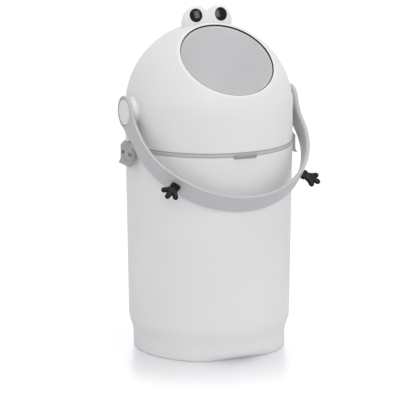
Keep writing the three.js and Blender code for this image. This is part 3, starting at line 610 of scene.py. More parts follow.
def drifting(name, tint, shade, drift, gloss, gloss_noise, relief, relief_noise, values=None):
    """A material whose colour, gloss and relief drift over the surface.

    Each noise is a scale and a detail, with a stretch where it runs in lines. The gloss is a range
    of roughness, the relief a depth in metres, and the values are for the shader's own inputs.
    """
    _, tree, shader = new_material(name)
    mix = add_node(tree, "ShaderNodeMix", {
        "A": (*(channel * shade for channel in tint), 1), "B": (*tint, 1),
        "Factor": ranged(tree, noise(tree, *drift), 0, 1)}, data_type="RGBA")
    bump = add_node(tree, "ShaderNodeBump", {
        "Strength": 1, "Distance": relief, "Height": noise(tree, *relief_noise)})
    fill(tree, shader, {
        "Base Color": mix.outputs["Result"], "Normal": bump.outputs["Normal"],
        "Roughness": ranged(tree, noise(tree, *gloss_noise), *gloss), **(values or {})})


def moulded(name, tint, roughness, grain, relief):
    """Satin moulded plastic: a fine spark-eroded grain, slow drift of colour and of gloss."""
    drifting(name, tint, 0.97, (9, 3), (roughness - 0.05, roughness + 0.05), (26, 4),
             relief, (1 / grain, 2))


def polished(name, tint, roughness, relief):
    """Glossy plastic with faint waves from the mould."""
    drifting(name, tint, 0.8, (60, 3), (roughness * 0.7, roughness * 1.3), (140, 3),
             relief, (90, 1), {"Specular IOR Level": 0.2})


def rubbery(name, tint, roughness, grain, relief):
    """Rubber with a fine pitted skin."""
    drifting(name, tint, 0.7, (80, 3), (roughness - 0.08, roughness + 0.1), (220, 3),
             relief, (1 / grain, 3), {"Specular IOR Level": 0.25})


def turned_steel(name, tint):
    """Bright steel with fine lines, which run round a pin that lies along X."""
    drifting(name, tint, 0.85, (300, 3, (1, 0.1, 0.1)), (0.22, 0.4), (900, 2, (1, 0.05, 0.05)),
             0.004 * MM, (1500, 1, (1, 0.05, 0.05)), {"Metallic": 1})


# Body and bag ring

def knuckle_start(hinge, steps):
    """Where a side knuckle starts: no step out is the ring's, and one step is the body's."""
    return hinge.head_width / 2 + RUNNING_GAP + steps * (hinge.side_width + RUNNING_GAP)


def hinge_knuckle(hinge, start, end, roots, from_angle, to_angle):
    """An eye about the hinge line, with a web to the wall."""
    eye = arc((HINGE.y, HINGE.z), hinge.knuckle_radius, math.radians(from_angle),
              math.radians(to_angle), 40)
    outline = [*eye, *(np.array(point) for point in roots)]
    return prism("knuckle", outline, min(start, end), max(start, end), "X", 0.7 * MM)


def side_knuckles(hinge, steps, roots, from_angle, to_angle):
    """A pair of knuckles, one on each side of the head's."""
    start = knuckle_start(hinge, steps)
    return [hinge_knuckle(hinge, side * start, side * (start + hinge.side_width), roots,
                          from_angle, to_angle) for side in SIDES.values()]


def hinge_bore(hinge):
    reach = 4 * hinge.side_width
    bore = rod("hinge_bore", hinge.pin_radius + SEAT_GAP, -reach, reach, "X", PIN_SIDES)
    return moved(bore, AT_HINGE)


def latch_ledge(made, side):
    """The ledge on the body that a latch hooks under."""
    sizes, half = made.latch, made.latch.ledge_width / 2
    top = LATCH_PIN.z - sizes.ledge_drop
    root, tip = BODY_RADIUS - made.body.wall / 2, BODY_RADIUS + sizes.ledge_depth
    outline = rounded([(root, top - sizes.ledge_height, 0),
                       (tip, top - sizes.ledge_height / 2, 0.5 * MM),
                       (tip, top, 0.5 * MM), (root, top + 1.5 * MM, 0)], 4)
    return moved(prism("latch_ledge", outline, -half, half, "Y", 0.4 * MM), SIDE_TURNS[side])


def toe_inset(sizes, turn, height):
    """How far the toe recess goes in, at an angle from the front and a height."""
    across = np.where(np.abs(turn) < sizes.toe_spread,
                      (1 + np.cos(np.pi * turn / sizes.toe_spread)) / 2, 0)
    return sizes.toe_depth * across * smooth(1 - height / sizes.toe_height)


def body_outline(sizes):
    """Half section of the body: floor, foot, tapered wall, rim and the same inside."""
    foot = BODY_RADIUS - sizes.foot_inset
    waist = BODY_RADIUS - sizes.waist_taper
    rim, wall = sizes.seam - SEAT_GAP, sizes.wall
    outline = rounded([
        (0, 0, 0),
        (foot, 0, 2 * MM),
        (foot, sizes.foot_top, sizes.foot_bend),
        (waist, sizes.chamfer_top, sizes.waist_bend),
        (BODY_RADIUS, rim, 0.8 * MM),
        (BODY_RADIUS - wall, rim, 0.8 * MM),
        (waist - wall, sizes.chamfer_top, sizes.waist_bend),
        (foot - wall, sizes.foot_top, sizes.foot_bend),
        (foot - wall, sizes.floor, 4 * MM),
        (0, sizes.floor, 0),
    ], 8)
    return resampled(outline, 5 * MM)


def build_body(made):
    """The body's shell, meshed from its middle below to its middle inside, with what it carries."""
    sizes, hinge = made.body, made.hinge
    foot = BODY_RADIUS - sizes.foot_inset - sizes.wall
    turn = np.linspace(0, math.tau, SHELL_SIDES, endpoint=False)
    from_front = (turn + math.pi) % math.tau - math.pi
    rings = []
    for radius, height in body_outline(sizes):
        reach = radius - toe_inset(sizes, from_front, height) * min(1, radius / foot)
        rings.append(np.column_stack((reach * np.sin(turn), -reach * np.cos(turn),
                                      np.full(SHELL_SIDES, height))))
    body = skin("bin_body_shell", rings)
    rim, root = sizes.seam - SEAT_GAP, BODY_RADIUS - sizes.wall * ROOT_SHARE
    roots = [(root, rim - 3 * MM), (root, HINGE.z - hinge.body_web)]
    for knuckle, side in zip(side_knuckles(hinge, 1, roots, -25, 200), SIDES.values()):
        combined(body, [knuckle, latch_ledge(made, side)])
    cut(body, [hinge_bore(hinge)])
    finished(body, "bin", "white_plastic", ["bin_body"])


def build_ring(made):
    """The bag ring with its skirt, a groove under its upper edge, its knuckles and its tab, which takes the darker
    latch plastic as painted shade for the shade under its undercut face.
    """
    sizes, hinge = made.body, made.hinge
    inner = BODY_RADIUS - sizes.ring_width
    skirt = inner + sizes.skirt_wall
    low, high = sizes.seam, sizes.seam + sizes.ring_height
    groove = BODY_RADIUS - 1.5 * MM
    ring = swept_ring("bag_ring_band", rounded([
        (inner, low - sizes.skirt_depth, 0.6 * MM), (skirt, low - sizes.skirt_depth, 0.6 * MM),
        (skirt, low, 0), (BODY_RADIUS, low, MM), (BODY_RADIUS, high - 1.3 * MM, 0.5 * MM),
        (groove, high - MM, 0.3 * MM), (groove, high, 0), (inner, high, 1.2 * MM),
    ], 5), "grey_plastic")
    root = BODY_RADIUS - sizes.ring_width / 2
    combined(ring, side_knuckles(hinge, 0, [(root, high), (root, low)], -150, 150))
    cut(ring, [hinge_bore(hinge)])
    finished(ring, "ring", "grey_plastic", ["bag_ring"])
    inside, outside = BODY_RADIUS - 0.4 * MM, BODY_RADIUS + RUNNING_GAP
    front, top, foot = BODY_RADIUS + sizes.tab_proud, low + sizes.tab_rise, low - sizes.tab_drop
    section = rounded([
        (inside, low + 0.2 * MM, 0), (outside, low + 0.2 * MM, 0), (outside, foot, 0.3 * MM),
        (outside + 0.8 * MM, foot, 0.3 * MM), (front, top - 1.1 * MM, 0.4 * MM),
        (front, top, 0.4 * MM), (inside, top, 0)], 5)
    half = sizes.tab_width / 2 / BODY_RADIUS
    tab = skin("bag_ring_tab", [
        [(radius * math.sin(turn), -radius * math.cos(turn), height) for radius, height in section]
        for turn in np.linspace(-half, half, 24)], capped=True)
    # The tab's darker latch plastic is painted shade: it stands in for the shade under the tab's undercut face.
    finished(tab, "ring", "latch_plastic", [])


def build_feet(made):
    """Four round rubber pads with a raised rim and a dimple."""
    sizes = made.body
    radius, thick = sizes.pad_radius, sizes.pad_thickness
    pad = revolved("foot_pads", rounded([
        (0, 0.3 * MM, 0), (radius * 0.35, 0.3 * MM, 0.2 * MM), (radius * 0.4, 0, 0.2 * MM),
        (radius, 0, 0.5 * MM), (radius, thick, 0), (0, thick, 0)], 4), HOLE_SIDES, closed=False)
    circle = BODY_RADIUS - sizes.foot_inset - sizes.pad_inset
    grown(pad, round_of_pads_tree(), {
        "Radius": circle, "Count": 4, "Material": look_of("black_rubber")})
    finished(pad, "bin", "black_rubber", [
        "front_right_foot", "rear_right_foot", "rear_left_foot", "front_left_foot"])


# Head, drum and seals

def mouth_place(sizes):
    """Turns what is made about Z onto the mouth's axis, through the pivot."""
    turn = math.pi / 2 - sizes.mouth_tilt
    return AT_PIVOT @ Matrix.Rotation(turn, 4, "X")


def rays(sizes, polar, around):
    """Directions from the pivot, by angle from the mouth's axis and angle about it."""
    tilt = sizes.mouth_tilt
    axis = np.array((0, -math.cos(tilt), math.sin(tilt)))
    up = np.array((0, math.sin(tilt), math.cos(tilt)))
    across = np.array((1, 0, 0))
    polar, around = polar[:, None], around[:, None]
    return (np.cos(polar) * axis
            + np.sin(polar) * (np.cos(around) * across + np.sin(around) * up))


def on_head(directions, radius):
    """Where rays from the pivot meet the dome or, below it, the upright wall."""
    level = np.hypot(directions[:, 0], directions[:, 1])
    stretch = np.where(directions[:, 2] < 0, radius / level, radius)
    return np.array(PIVOT) + directions * stretch[:, None]


def polar_at(sizes, around, radius, height):
    """Angles from the mouth's axis at which the wall reaches a height, by bisection."""
    near, far = np.full(len(around), 0.6), np.full(len(around), math.pi)
    for _ in range(40):
        middle = (near + far) / 2
        above = on_head(rays(sizes, middle, around), radius)[:, 2] > height
        near, far = np.where(above, middle, near), np.where(above, far, middle)
    return near


def mouth_lip(sizes, radius, inner_radius):
    """The soft edge of the mouth as (radius about its axis, height along it), from outside in."""
    turn = sizes.mouth_round
    edge_angle = math.asin(sizes.mouth_radius / inner_radius)
    reach = radius - turn
    spread = math.acos((reach ** 2 + inner_radius ** 2 - turn ** 2) / (2 * reach * inner_radius))
    start = edge_angle + spread
    centre = (reach * math.sin(start), reach * math.cos(start))
    edge = (inner_radius * math.sin(edge_angle), inner_radius * math.cos(edge_angle))
    end = math.atan2(edge[1] - centre[1], edge[0] - centre[0])
    return start, edge_angle, arc(centre, turn, math.pi / 2 - start, end, 12)


def build_head_shell(sizes, body_sizes, base):
    """A dome on an upright wall, meshed as a web from the mouth's edge to the seam."""
    wall = body_sizes.wall
    outer, inner = BODY_RADIUS, BODY_RADIUS - wall
    soft = 0.8 * MM
    around = np.linspace(0, math.tau, SHELL_SIDES + 64, endpoint=False)
    start, edge_angle, lip = mouth_lip(sizes, outer, inner)
    rows = np.linspace(0, 1, 121)
    outer_end = polar_at(sizes, around, outer, base + soft)
    inner_end = polar_at(sizes, around, inner, base + soft)
    outer_rings = [on_head(rays(sizes, start + (outer_end - start) * share, around), outer)
                   for share in rows]
    inner_rings = [on_head(rays(sizes, edge_angle + (inner_end - edge_angle) * share, around), inner)
                   for share in rows]
    level = outer_rings[-1] - np.array((0, 0, base + soft))
    level = level / np.linalg.norm(level[:, :2], axis=1)[:, None]
    rim = [*arc((outer - soft, base + soft), soft, 0, -math.pi / 2, 5)[1:],
           *arc((inner + soft, base + soft), soft, -math.pi / 2, -math.pi, 5)[:-1]]
    rim_rings = [level * radius + np.array((0, 0, height)) for radius, height in rim]
    place = np.array(mouth_place(sizes))
    lip_rings = []
    for radius, height in lip[1:-1]:
        ring = np.column_stack((radius * np.cos(around), radius * np.sin(around),
                                np.full(len(around), height)))
        lip_rings.append(ring @ place[:3, :3].T + place[:3, 3])
    return skin("head_dome", [*reversed(lip_rings), *outer_rings, *rim_rings,
                              *reversed(inner_rings)], closed=True)


def hub_boss(made, side):
    """The hollow boss that a handle hub turns in, blended softly into the dome."""
    sizes, handle = made.head, made.handle
    _, outer_face, _, _ = handle_faces(made)
    base, root = BODY_RADIUS - 8 * MM, BODY_RADIUS - 4.6 * MM
    floor, rim = BODY_RADIUS + sizes.boss_proud, outer_face - handle.thickness - RUNNING_GAP
    inner = handle.hub_radius - handle.spacer_step + RUNNING_GAP
    radius, spread, top = inner + sizes.boss_wall, sizes.boss_spread, rim - 2 * MM
    blend = [(radius + spread * (1 - math.sin(turn)), root + (top - root) * (1 - math.cos(turn)))
             for turn in np.linspace(0, math.pi / 2, 16)]
    boss = revolved("boss", [
        (0, base), (radius + spread, base), *blend,
        *rounded([(radius, top, 0), (radius, rim, 0.5 * MM), (inner, rim, 0.1 * MM),
                  (inner, floor, 0)], 6)[1:],
        (0, floor)], closed=False)
    return moved(boss, ALONG["X"], AT_PIVOT, SIDE_TURNS[side])


def facet(sizes, distance, reach):
    """Where the latch's sloping top, at a distance from its pin, meets a circle about the pin."""
    half = math.acos(distance / reach)
    return sizes.slope_angle - half, sizes.slope_angle + half


def build_lug(sizes, name, side):
    """The lug that carries a latch, with the same sloping top as the latch's cover."""
    centre, radius, root = (LATCH_PIN.x, LATCH_PIN.z), sizes.lug_radius, BODY_RADIUS - 1.2 * MM
    low, high = facet(sizes, sizes.slope - 0.2 * MM, radius)
    eye = arc(centre, radius, math.radians(-130), low, 24)
    top = arc(centre, radius, high, math.radians(125), 3)
    outline = [*eye, *top, np.array((root, top[-1][1])), np.array((root, eye[0][1]))]
    half = sizes.lug_width / 2
    lug = prism(f"{name}_latch_lug", outline, -half, half, "Y", 0.3 * MM)
    cut(lug, [latch_pin_bore(sizes, sizes.width)])
    moved(lug, SIDE_TURNS[side])
    finished(lug, "head", "latch_plastic", [])


def latch_pin_bore(sizes, reach):
    bore = rod("bore", sizes.pin_radius + SEAT_GAP, -reach, reach, "Y", PIN_SIDES)
    return moved(bore, AT_LATCH)


def shaft_bore(radius):
    """A bore for the shafts on both sides, right through the head or the drum."""
    return moved(rod("shaft_bore", radius, -BODY_RADIUS * 1.2, BODY_RADIUS * 1.2, "X"), AT_PIVOT)


def build_head(made):
    sizes, hinge = made.head, made.hinge
    base = made.body.seam + made.body.ring_height + SEAT_GAP
    head = build_head_shell(sizes, made.body, base)
    root, half = BODY_RADIUS - made.body.wall * ROOT_SHARE, hinge.head_width / 2
    knuckle = hinge_knuckle(hinge, -half, half, [
        (root, base + hinge.head_web), (root, base + made.body.wall)], -200, 40)
    combined(head, [knuckle, *(hub_boss(made, side) for side in SIDES.values())])
    cut(head, [shaft_bore(sizes.shaft_radius + sizes.bush_wall + 2 * SEAT_GAP), hinge_bore(hinge)])
    finished(head, "head", "white_plastic", ["head_shell"])
    for name, side in SIDES.items():
        build_lug(made.latch, name, side)


def sphere_height(sphere, radius):
    return math.sqrt(sphere ** 2 - radius ** 2)


def build_drum(made):
    """A hollow ball with a bowl in it, both made about the mouth's axis."""
    sizes, place = made.head, mouth_place(made.head)
    drum_radius = BODY_RADIUS - made.body.wall - sizes.drum_gap
    inside = drum_radius - sizes.drum_wall
    rim = sizes.mouth_radius - sizes.bowl_inset
    opening = rim + SEAT_GAP
    shell = revolved("drum_ball", [
        *arc((0, 0), drum_radius, -math.pi / 2, math.acos(opening / drum_radius), 90),
        *arc((0, 0), inside, math.acos(opening / inside), -math.pi / 2, 90),
    ], DRUM_SIDES, closed=False)
    cut(moved(shell, place), [shaft_bore(sizes.shaft_radius + SEAT_GAP)])
    finished(shell, "drum", "white_plastic", ["drum_shell"])

    lip_inner, collar = rim - sizes.lip, rim + sizes.collar
    under = inside - RUNNING_GAP
    top = sphere_height(drum_radius, lip_inner)
    wall, step, depth = sizes.bowl_wall, SEAT_GAP, sizes.bowl_depth
    ledge, collar_top = top - sizes.rim_depth, sphere_height(under, collar)

    def cup(radius, depth, highest):
        """An upright half ellipse from its foot up to a height."""
        points = [(radius * math.cos(turn), top - depth * math.sin(turn))
                  for turn in np.linspace(math.pi / 2, 0, 60)]
        return [point for point in points if point[1] < highest]
    bowl = revolved("drum_bowl_cup", [
        *cup(lip_inner + step, depth, ledge), (lip_inner + step, ledge), (rim, ledge),
        (rim, sphere_height(under, rim)), (collar, collar_top), (collar, collar_top - wall),
        *reversed(cup(lip_inner + wall, depth + wall, collar_top - wall)),
    ], DRUM_SIDES, closed=False)
    finished(moved(bowl, place), "drum", "bowl_plastic", ["drum_bowl"])
    ring = revolved("drum_bowl_rim", rounded([
        (lip_inner, ledge, 0.2 * MM),
        (lip_inner, top - 0.3 * MM, 0.6 * MM),
        (rim, sphere_height(drum_radius, rim), 0.3 * MM),
        (rim, ledge, 0),
    ], 5), DRUM_SIDES)
    finished(moved(ring, place), "drum", "white_plastic", [])


def build_seals(made):
    """The mouth's gasket, and the drum's wiper with the ring that holds it."""
    sizes = made.head
    inner_wall = BODY_RADIUS - made.body.wall
    drum_radius = inner_wall - sizes.drum_gap
    inner = sizes.mouth_radius - sizes.gasket_width / 3
    outer = inner + sizes.gasket_width
    lower = drum_radius + (sizes.drum_gap - sizes.gasket_thickness) / 2
    upper = lower + sizes.gasket_thickness
    gasket = swept_ring("mouth_seal", rounded([
        (radius, sphere_height(sphere, radius), 0.4 * MM) for radius, sphere in (
            (inner, lower), (outer, lower), (outer, upper), (inner, upper))], 4), "seal_rubber")
    moved(gasket, mouth_place(sizes))
    finished(gasket, "head", "seal_rubber", ["mouth_gasket"])

    low, high = (corner.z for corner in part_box("head_floor"))
    at_low, at_high = (sphere_height(drum_radius + RUNNING_GAP, PIVOT.z - level)
                       for level in (low, high))
    seal_outer = at_high + sizes.seal_width
    seal = swept_ring("drum_wiper", rounded([
        (at_low, low, 0.2 * MM), (seal_outer, low, 0.3 * MM),
        (seal_outer, high, 0.3 * MM), (at_high, high, 0.2 * MM)], 3), "seal_rubber")
    finished(seal, "head", "seal_rubber", ["drum_seal"])
    inner, outer, edge = seal_outer + SEAT_GAP, inner_wall - SEAT_GAP, 0.3 * MM
    floor = swept_ring("head_floor_ring", rounded([
        (inner, low, edge), (outer, low, edge),
        (outer, high, edge), (inner, high, edge)], 3), "white_plastic")
    finished(floor, "head", "white_plastic", ["head_floor"])


# Handle

def handle_faces(made):
    """Where a hub's inner and outer faces are, half the band's width, and how far its bow reaches."""
    sizes = made.handle
    inner_face = BODY_RADIUS + made.head.boss_proud + sizes.hub_gap
    outer_face = inner_face + sizes.hub_thickness
    half_width = BODY_RADIUS + sizes.side_gap + sizes.thickness
    bow = BODY_RADIUS + sizes.front_gap + sizes.thickness - sizes.arm
    return inner_face, outer_face, half_width, bow


def handle_place(sizes):
    """Turns what is made flat about the pivot line into the handle's place at rest."""
    return AT_PIVOT @ Matrix.Rotation(sizes.tilt, 4, "X")


def band_point(made, share):
    """A place on the band's outer face: zero is the right hub, one the left hub."""
    _, outer_face, half_width, bow = handle_faces(made)
    arm = made.handle.arm
    arm_share = arm / (2 * arm + math.pi * half_width)
    mirrored = min(share, 1 - share)
    side = 1 if share < 0.5 else -1
    if mirrored < arm_share:
        t = mirrored / arm_share
        return np.array((side * (outer_face + (half_width - outer_face) * t), -arm * t, 0))
    turn = math.pi * (share - arm_share) / (1 - 2 * arm_share)
    return np.array((half_width * math.cos(turn), -arm - bow * math.sin(turn), 0))


def band_section(made, share):
    """The rounded section of the band at a share of its way round."""
    sizes, step = made.handle, 0.002
    outer = band_point(made, share)
    along = band_point(made, min(share + step, 1)) - band_point(made, max(share - step, 0))
    along /= np.linalg.norm(along)
    inward = np.array((along[1], -along[0], 0))
    inward *= -1 if inward @ outer > 0 else 1
    arms = -outer[1] / sizes.arm
    hub_half, half = sizes.hub_radius - MM, sizes.width / 2
    top = half - sizes.notch * smooth(NOTCH_END_SHARE - arms)
    lower = -hub_half + (hub_half - half) * smooth(arms)
    upper = hub_half + (top - hub_half) * smooth(arms / FLARE_SHARE)
    edge, inner_edge = sizes.edge, sizes.inner_edge
    section = rounded([(0, lower, edge), (0, upper, edge),
                       (sizes.thickness, upper, inner_edge),
                       (sizes.thickness, lower, inner_edge)], 6)
    return [outer + inward * deep + np.array((0, 0, up)) for deep, up in section]


def hub_cuts(made, side):
    """What is cut from a hub: the cap's recess, the screw head's well, the shaft's bore and a hole."""
    sizes = made.handle
    inner_face, outer_face, _, _ = handle_faces(made)
    seat = outer_face - sizes.cap_thickness - SEAT_GAP
    screw_seat = seat - sizes.screw_head_height - 2 * SEAT_GAP
    shaft_end = screw_seat - sizes.hub_skin
    cuts = [
        rod("recess", sizes.cap_radius + SEAT_GAP, seat - MM, outer_face + 2 * MM, "X"),
        rod("well", sizes.screw_head + SEAT_GAP, screw_seat, seat + MM, "X", HOLE_SIDES),
        rod("bore", made.head.shaft_radius + SEAT_GAP, inner_face - 2 * MM, shaft_end, "X"),
        rod("hole", sizes.screw_radius + SEAT_GAP, shaft_end - RUNNING_GAP, seat - MM, "X", HOLE_SIDES),
    ]
    return [moved(piece, SIDE_TURNS[side]) for piece in cuts]


def build_spacer(made, name, side):
    """The white spacer behind a hub's disc."""
    sizes = made.handle
    inner_face, outer_face, _, _ = handle_faces(made)
    disc_back = outer_face - sizes.thickness
    spacer = rod(f"{name}_hub_spacer", sizes.hub_radius - sizes.spacer_step, inner_face, disc_back, "X")
    cut(spacer, [rod("bore", made.head.shaft_radius + SEAT_GAP, inner_face - MM, disc_back + MM, "X")])
    moved(spacer, SIDE_TURNS[side], handle_place(sizes))
    finished(spacer, "drum", "white_plastic", [])


def build_cap(made, name, side):
    """The cap in a hub's front."""
    sizes = made.handle
    _, outer_face, _, _ = handle_faces(made)
    face, seat = outer_face - 0.05 * MM, outer_face - sizes.cap_thickness
    edge = sizes.cap_radius - 0.8 * MM
    cap = revolved(f"{name}_cap", rounded([
        (0, seat, 0), (edge, seat, 0.3 * MM), (edge, face, 0.7 * MM), (0, face, 0)], 5), closed=False)
    moved(cap, ALONG["X"], SIDE_TURNS[side], handle_place(sizes))
    finished(cap, "drum", "white_plastic", [f"{name}_hub_cap"])


def build_handle(made):
    """The band with its hubs' discs, their spacers and their caps."""
    sizes = made.handle
    _, outer_face, _, _ = handle_faces(made)
    sections = [band_section(made, share) for share in np.linspace(0, 1, 241)]
    band = skin("handle_bow", sections, capped=True)
    combined(band, [
        moved(rod("hub", sizes.hub_radius, outer_face - sizes.thickness, outer_face, "X",
                  chamfer=1.2 * MM), SIDE_TURNS[side]) for side in SIDES.values()])
    cut(band, [piece for side in SIDES.values() for piece in hub_cuts(made, side)])
    moved(band, handle_place(sizes))
    finished(band, "drum", "grey_plastic", ["handle"])
    for build in (build_spacer, build_cap):
        for name, side in SIDES.items():
            build(made, name, side)


def capsule(name, radius, start, end):
    """A finger's form: a rod with round ends between two points."""
    start, end = Vector(start), Vector(end)
    reach = (end - start).length
    profile = [*arc((0, 0), radius, -math.pi / 2, 0, 10), *arc((0, reach), radius, 0, math.pi / 2, 10)]
    piece = revolved(name, profile, 40, closed=False)
    turn = (end - start).to_track_quat("Z", "Y").to_matrix().to_4x4()
    moved(piece, Matrix.Translation(start) @ turn)
    return piece


def slab(name, rings):
    """A lofted block of rounded rectangles, each (half width, half thickness, height)."""
    made = []
    for half_width, half_thick, height in rings:
        edge = half_thick * 0.55
        outline = rounded([(half_width, -half_thick, edge), (half_width, half_thick, edge),
                           (-half_width, half_thick, edge), (-half_width, -half_thick, edge)], 5)
        made.append([(across, deep, height) for across, deep in outline])
    return skin(name, made, capped=True)


def build_hand(made, name, side):
    """A black rubber hand: a squared cuff, a soft palm and three fingers with a groove each."""
    sizes = made.handle
    half_cuff, half_palm = sizes.cuff_width / 2, sizes.palm_width / 2
    cuff_top = sizes.cuff_height
    palm = slab("palm", [
        (half_cuff * 0.8, 3.2 * MM, cuff_top - MM),
        (half_cuff * 0.9, 3.2 * MM, cuff_top + 2 * MM),
        (half_palm, 3.4 * MM, cuff_top + 6.5 * MM),
        (half_palm * 0.92, 3.0 * MM, cuff_top + 11 * MM),
    ])
    thick = sizes.cuff_thickness / 2
    cuff = slab("cuff", [(half_cuff, thick, 0.1 * MM), (half_cuff, thick, cuff_top)])
    radius = sizes.finger_radius
    fingers, grooves = [], []
    for turn in (-sizes.finger_spread, 0, sizes.finger_spread):
        reach = sizes.hand_length - radius - (0 if turn == 0 else radius / 2)
        root_height = cuff_top + 4 * MM
        tip = Vector((math.sin(turn) * (reach - root_height), 0,
                      root_height + math.cos(turn) * (reach - root_height)))
        root = Vector((math.sin(turn) * 2 * MM, 0, root_height))
        fingers.append(capsule("finger", radius, root, tip))
        for face in (-1, 1):
            lift = Vector((0, face * (radius + 0.9 * MM), 0))
            start = root + (tip - root) * 0.2
            grooves.append(capsule("groove", sizes.groove_radius, start + lift, tip + lift))
    hand = joined(f"{name}_hand_rubber", [palm, *fingers])
    remeshed(hand, 0.45 * MM, 6)
    cut(hand, grooves)
    hand = joined(f"{name}_hand_rubber", [hand, cuff])
    remeshed(hand, 0.35 * MM, 3)
    _, _, half_width, bow = handle_faces(made)
    turn = sizes.hand_angle if side > 0 else math.pi - sizes.hand_angle
    outward = Vector((bow * math.cos(turn), -half_width * math.sin(turn), 0)).normalized()
    flat = Vector((0, 0, 1))
    across = flat.cross(outward)
    foot = Vector((half_width * math.cos(turn), -sizes.arm - bow * math.sin(turn), 0))
    foot += outward * SEAT_GAP
    place = Matrix((across, flat, outward)).transposed().to_4x4()
    moved(hand, Matrix.Translation(foot) @ place, handle_place(sizes))
    finished(hand, "drum", "black_rubber", [f"{name}_hand"], 50)


# Eyes

def eye_place(sizes, side):
    """Turns what is made about Z, with its front at the top, to look out of its socket."""
    middle = Vector((side * sizes.spacing / 2, sizes.front, TOP - sizes.drop))
    outwards = Matrix.Rotation(side * sizes.toe_out, 4, "Z")
    return Matrix.Translation(middle) @ outwards @ Matrix.Rotation(math.pi / 2 - sizes.lean, 4, "X")


def build_eyes(made):
    """Two bumps on the dome, melted into one, with a socket and an eye in each."""
    sizes = made.eyes
    back = sizes.front + sizes.half_depth - sizes.crown
    middle = TOP - sizes.half_height
    bumps = [ball("bump", (sizes.half_width, sizes.half_depth, sizes.half_height),
                  (side * sizes.bump_spacing / 2, back, middle)) for side in SIDES.values()]
    housing = joined("eye_bumps", bumps)
    remeshed(housing, 0.6 * MM, 10)
    cutters = [ball("dome", [BODY_RADIUS + 0.1 * MM] * 3, PIVOT)]
    for side in SIDES.values():
        socket = rod("socket", sizes.radius + SEAT_GAP, -sizes.depth, sizes.half_height, "Z")
        moved(socket, eye_place(sizes, side))
        cutters.append(socket)
    cut(housing, cutters)
    finished(housing, "head", "bump_plastic", ["eye_housing"], 40)
    for name, side in SIDES.items():
        sphere = (sizes.radius ** 2 + sizes.bulge ** 2) / (2 * sizes.bulge)
        span = math.asin(sizes.radius / sphere)
        front = arc((0, sizes.bulge - sphere), sphere, math.pi / 2 - span, math.pi / 2, 24)
        lens = revolved(f"{name}_eye_lens", [
            *rounded([(0, -sizes.depth, 0), (sizes.radius, -sizes.depth, 0.4 * MM),
                      (sizes.radius, -0.6 * MM, 0), (sizes.radius * 0.995, -0.1 * MM, 0)], 4),
            *front[1:]], closed=False)
        moved(lens, eye_place(sizes, side))
        finished(lens, "head", "black_plastic", [f"{name}_eye"])


# Latches and pins

def build_latch(made, name, side):
    """A hollow cover with a flared lip, two windows, a hook inside and an eye for its pin."""
    sizes = made.latch
    face, lip = BODY_RADIUS + sizes.face, BODY_RADIUS + sizes.lip
    back, foot = face - sizes.wall, LATCH_PIN.z - sizes.drop
    lip_start, flare_start = foot + sizes.lip_height, foot + sizes.flare_height
    tip = foot + sizes.wall / 2
    _, ridge = facet(sizes, sizes.slope, sizes.eye_radius)
    eye = arc((LATCH_PIN.x, LATCH_PIN.z), sizes.eye_radius, ridge, math.radians(250), 20)
    shoulder = eye[0][1] - (face - eye[0][0]) / math.tan(sizes.slope_angle)
    flare = [(lip - (lip - face) * math.sin(turn),
              flare_start - (flare_start - tip) * math.cos(turn), 0)
             for turn in np.linspace(0.1, math.pi / 2, 14)]
    outline = rounded([
        *((across, up, 0) for across, up in eye),
        (back, LATCH_PIN.z - sizes.eye_radius - MM, 0.8 * MM),
        (back, flare_start - MM, 3 * MM),
        (lip - sizes.wall, foot, 0.5 * MM),
        (lip, foot, 0.5 * MM),
        *flare,
        (face, shoulder, 0.8 * MM),
    ], 6)
    half = sizes.width / 2
    cover = prism(f"{name}_latch_cover", outline, -half, half, "Y")
    cheek_low, cheek_high = lip_start - 2 * MM, LATCH_PIN.z - sizes.eye_radius
    cheek_back = BODY_RADIUS + sizes.cheek_gap
    side_outline = [(cheek_back, cheek_low), (lip - sizes.wall, foot + 0.8 * MM),
                    (lip - sizes.wall / 2, foot + 1.6 * MM), (back + MM, flare_start),
                    (back + MM, cheek_high), (cheek_back, cheek_high)]
    cheeks = [prism("cheek", side_outline, start, start + sizes.cheek, "Y")
              for start in (-half + 0.1 * MM, half - 0.1 * MM - sizes.cheek)]
    half_hook = sizes.ledge_width / 2
    hook = box("hook", (BODY_RADIUS + sizes.ledge_depth + SEAT_GAP, -half_hook, lip_start - sizes.wall),
               (back + 3.2 * MM, half_hook, lip_start + 0.65 * MM))
    combined(cover, [*cheeks, hook])
    reach, half_slot = sizes.lug_radius + SEAT_GAP, sizes.lug_width / 2 + 0.4 * MM
    well = moved(rod("well", reach, -half_slot, half_slot, "Y", HOLE_SIDES), AT_LATCH)
    slot = box("slot", (LATCH_PIN.x - 7 * MM, -half_slot, LATCH_PIN.z - reach),
               (LATCH_PIN.x, half_slot, LATCH_PIN.z + 7 * MM))
    top = LATCH_PIN.z - sizes.window_drop + sizes.window_height / 2
    windows = []
    for across in SIDES.values():
        middle = across * sizes.window_spacing / 2 - side * sizes.window_shift
        left, right = middle - sizes.window_width / 2, middle + sizes.window_width / 2
        window = rounded([(left, top - sizes.window_height, 0.8 * MM),
                          (right, top - sizes.window_height, 0.8 * MM),
                          (right, top, 0.8 * MM), (left, top, 0.8 * MM)], 4)
        windows.append(prism("window", window, back - 4 * MM, face + 2 * MM, "X"))
    cut(cover, [slot, well, *windows, latch_pin_bore(sizes, half - 1.5 * MM)])
    moved(cover, SIDE_TURNS[side])
    finished(cover, f"{name}_clip", "latch_plastic", [f"{name}_latch"], 30)


